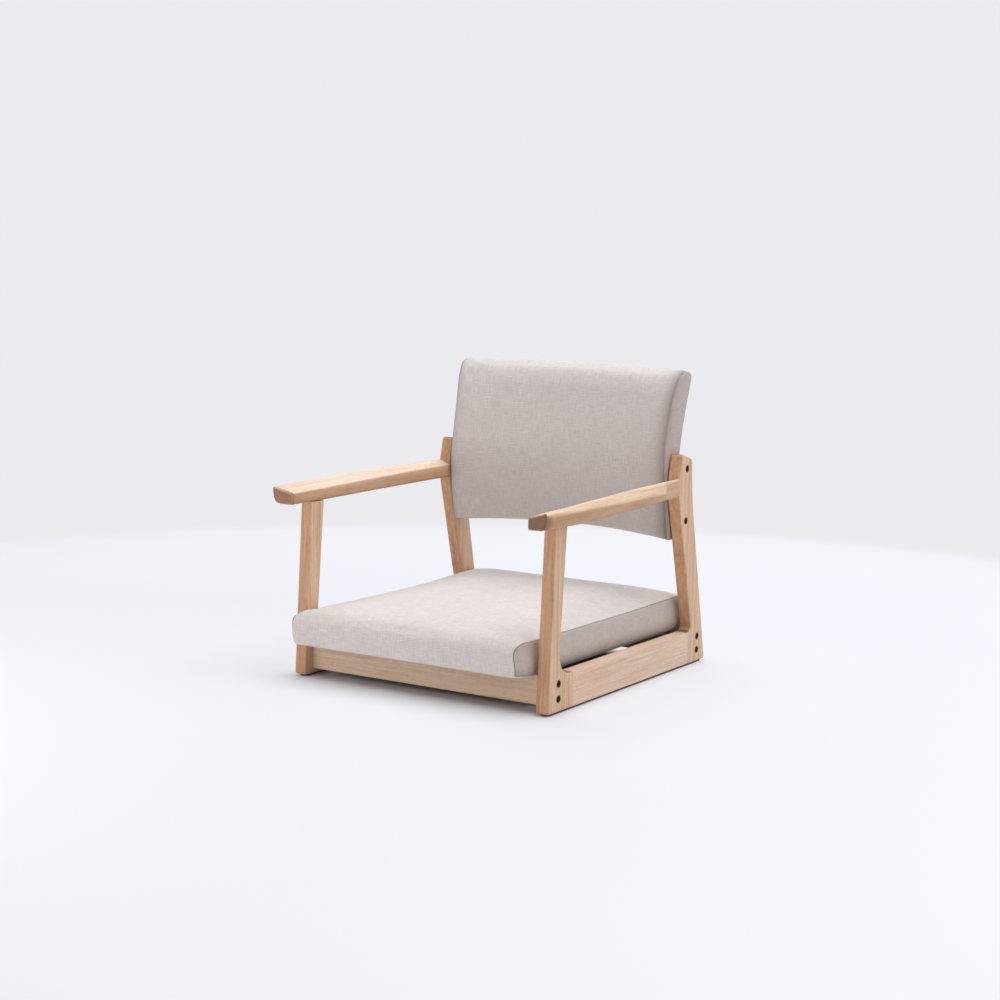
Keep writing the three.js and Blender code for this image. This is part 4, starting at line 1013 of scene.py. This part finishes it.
# %% Stuff the back
stuff(back_pad, back_seam | in_rear, 4.0, 4.0)
pull_seams(back_pad, np.where(back_seam, 1.0, back_near * 0.99), h + d, 2.6, 0.08, 0.42)
finish_pad(back_pad, "back_cushion")

# %% [markdown]
# ## The panel in the rear of the back
# Seen from behind, a thin padded panel closes the hollow in which the plywood core lies. It is covered in the
# same cloth and set in with a tight joint all round.

# %% Make the rear panel
PANEL_HALF, PANEL_LOW, PANEL_HIGH, PANEL_THICK = 230.0, 248.4, 518.6, 14.0
tall = PANEL_HIGH - PANEL_LOW
_, last, rows, (x, d, h), faces, is_side = cut_box((2 * PANEL_HALF, 8.0), (PANEL_THICK, 4.0), (tall, 8.0))
rear = d > PANEL_THICK / 2
radius = np.where(rear, 4.5, 1.5)
in_x, in_h = round_edge(inwards(x, 2 * PANEL_HALF), inwards(h, tall), 4.0)
in_d, in_x = round_edge(inwards(d, PANEL_THICK), in_x, radius)
in_d, in_h = round_edge(in_d, in_h, radius)
across = np.where(x > PANEL_HALF, 2 * PANEL_HALF - in_x, in_x) - PANEL_HALF
height = PANEL_LOW + np.where(h > tall / 2, tall - in_h, in_h)
depth = PANEL_THICK - np.where(rear, PANEL_THICK - in_d, in_d)
puffed = (1 - np.abs(across / PANEL_HALF) ** 6) * (1 - np.abs(2 * (height - PANEL_LOW) / tall - 1) ** 6)
depth -= np.where(rear, 1.6 * puffed, 0.0)
on_front = rows[:, 1] < last[1]
panel_uv = np.stack([x + 3600.0, h + np.where(on_front, d, 0)], axis=1)
rear_panel = sew("back_rear_panel", back_place(across, height, depth, across), faces,
                 np.zeros_like(is_side), np.full(len(rows), BACK_TONE), panel_uv, panel_uv)
stuff(rear_panel, on_front | (in_x < 1.2) | (in_h < 1.2), 3.0, 2.0)
finish_pad(rear_panel, "back_rear_pad")

# %% [markdown]
# ## The dust cover
# Under the seat board a thin black cloth of bonded fibres keeps dust out of the foam. It is cut as one
# rectangle, laid flat, and stapled near its edges, so it hangs only a little between the two rails. A flat grid
# of cells with the right sag is all it needs, with an opening left for each screw that passes through it.

# %% Hang the dust cover
SAG, RIPPLE, OPENING_HALF, GRID_LINES, LEAST_GAP = 4.0, 0.25, 3.6, 45, 4.0
HELD_AT_RAIL, HELD_AT_END = 14.0, 20.0
cover_low, cover_high = box_mm("seat_dust_cover")
rails_inside = box_mm("front_rail")[1][1], box_mm("rear_rail")[0][1]
screws = [box_mm(name).mean(axis=0) for name in nodes if name.startswith("seat_screw")]
lines = []
for axis in (0, 1):
    holes = {round(float(screw[axis]), 3) for screw in screws}
    edges = [cover_low[axis], cover_high[axis]] + [
        hole + side for hole in holes for side in (-OPENING_HALF, OPENING_HALF)]
    even = [v for v in np.linspace(cover_low[axis], cover_high[axis], GRID_LINES)[1:-1]
            if min(abs(v - place) for place in (*edges, *holes)) > LEAST_GAP]
    lines.append(np.array(sorted(edges + even)))
grid_x, grid_y = np.meshgrid(*lines, indexing="ij")


def between(value, low, high, margin):
    """0 up to the margin inside low, 1 from the margin inside high on."""
    return np.clip((value - low - margin) / (high - low - 2 * margin), 0, 1)


hang = (np.sin(np.pi * between(grid_y, *rails_inside, HELD_AT_RAIL))
        * np.sin(np.pi * between(grid_x, cover_low[0], cover_high[0], HELD_AT_END))) ** 0.8
grid_z = cover_low[2] + 0.4 - SAG * hang - RIPPLE * hang * np.sin(grid_x / 9.0 + np.sin(grid_y / 23.0))
numbers = np.arange(grid_x.size).reshape(grid_x.shape)
cells = []
for i in range(len(lines[0]) - 1):
    for j in range(len(lines[1]) - 1):
        middle = np.array([lines[0][i:i + 2].mean(), lines[1][j:j + 2].mean()])
        if all(np.abs(middle - screw[:2]).max() > OPENING_HALF for screw in screws):
            cells.append([numbers[i, j], numbers[i + 1, j], numbers[i + 1, j + 1], numbers[i, j + 1]])
# Its front right corner is trimmed to follow the corner of the pad.
trimmed = 12.0 * fade(grid_y - cover_low[1] + 5.0, 30.0) ** 2 * fade(cover_high[0] - grid_x, 70.0)
points = np.stack([grid_x - trimmed, grid_y, grid_z], axis=-1).reshape(-1, 3)
cover_mesh = bpy.data.meshes.new("dust_cover")
cover_mesh.from_pydata((points * MM).tolist(), [], np.array(cells).tolist())
cover_mesh.shade_smooth()
dust_cover = new_object("dust_cover", cover_mesh)
finish_with(dust_cover, lining)
thickness = dust_cover.modifiers.new("thickness", "SOLIDIFY")
thickness.thickness, thickness.offset = 0.6 * MM, 0.0
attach(dust_cover, "root")
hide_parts("seat_dust_cover")
print("dust cover", len(cells), "cells, openings", len(screws))

# %% [markdown]
# ## Staples
# Wire staples, 10 mm wide, hold the dust cover to the board. They repeat along its edges, so a Geometry Nodes
# tree bends one wire, its two ends biting into the cloth, and sets a copy at every point it is given.

# %% Drive the staples
STAPLE_SIZES = {"Crown width": 10.0, "Wire radius": 0.45, "Bite": 1.0}
stapling, given, staple_inputs = copying_tree("wire_staples", STAPLE_SIZES)
half_crown = stapling.maths("MULTIPLY", given["Crown width"], 0.5)
start, end = (stapling.out("ShaderNodeCombineXYZ", {0: stapling.maths("MULTIPLY", half_crown, sense)})
              for sense in (-1.0, 1.0))
line = stapling.out("GeometryNodeCurvePrimitiveLine", {"Start": start, "End": end})
fine = stapling.out("GeometryNodeResampleCurve", {"Curve": line, "Count": 13})
place = stapling.out("GeometryNodeInputPosition")
share = stapling.maths("DIVIDE", stapling.part(place, "X"), half_crown)
bite = stapling.maths("MULTIPLY", stapling.maths("POWER", share, 8.0), given["Bite"])
wire = stapling.out("GeometryNodeSetPosition", {"Geometry": fine, "Offset": stapling.upright(bite)})
profile = stapling.out("GeometryNodeCurvePrimitiveCircle", {"Resolution": 6, "Radius": given["Wire radius"]})
staple = stapling.out("GeometryNodeCurveToMesh", {"Curve": wire, "Profile Curve": profile, "Fill Caps": True})
copy_to_places(stapling, given, staple, "X")

# Staples run beside both rails, 38 mm apart, and eight more hold each end of the cover.
STAPLE_DROP, STAPLES_APART, OUTERMOST, FROM_RAIL, FROM_END, FROM_CORNER = 0.3, 38.0, 190.0, 7.0, 8.0, 40.0
crosswise = [(x, y) for x in np.arange(-OUTERMOST, OUTERMOST + 1.0, STAPLES_APART)
             for y in (rails_inside[0] + FROM_RAIL, rails_inside[1] - FROM_RAIL)]
endwise = [(x, y) for y in np.linspace(rails_inside[0] + FROM_CORNER, rails_inside[1] - FROM_CORNER, 8)
           for x in (cover_low[0] + FROM_END, cover_high[0] - FROM_END)]
places = [(x, y, cover_low[2] - STAPLE_DROP) for x, y in crosswise + endwise]
ways = [(1.0, 0.0, 0.0)] * len(crosswise) + [(0.0, 1.0, 0.0)] * len(endwise)
staples = set_copies("cover_staples", stapling.tree, staple_inputs, places, ways, zinc_steel, STAPLE_SIZES)
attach(staples, "root")
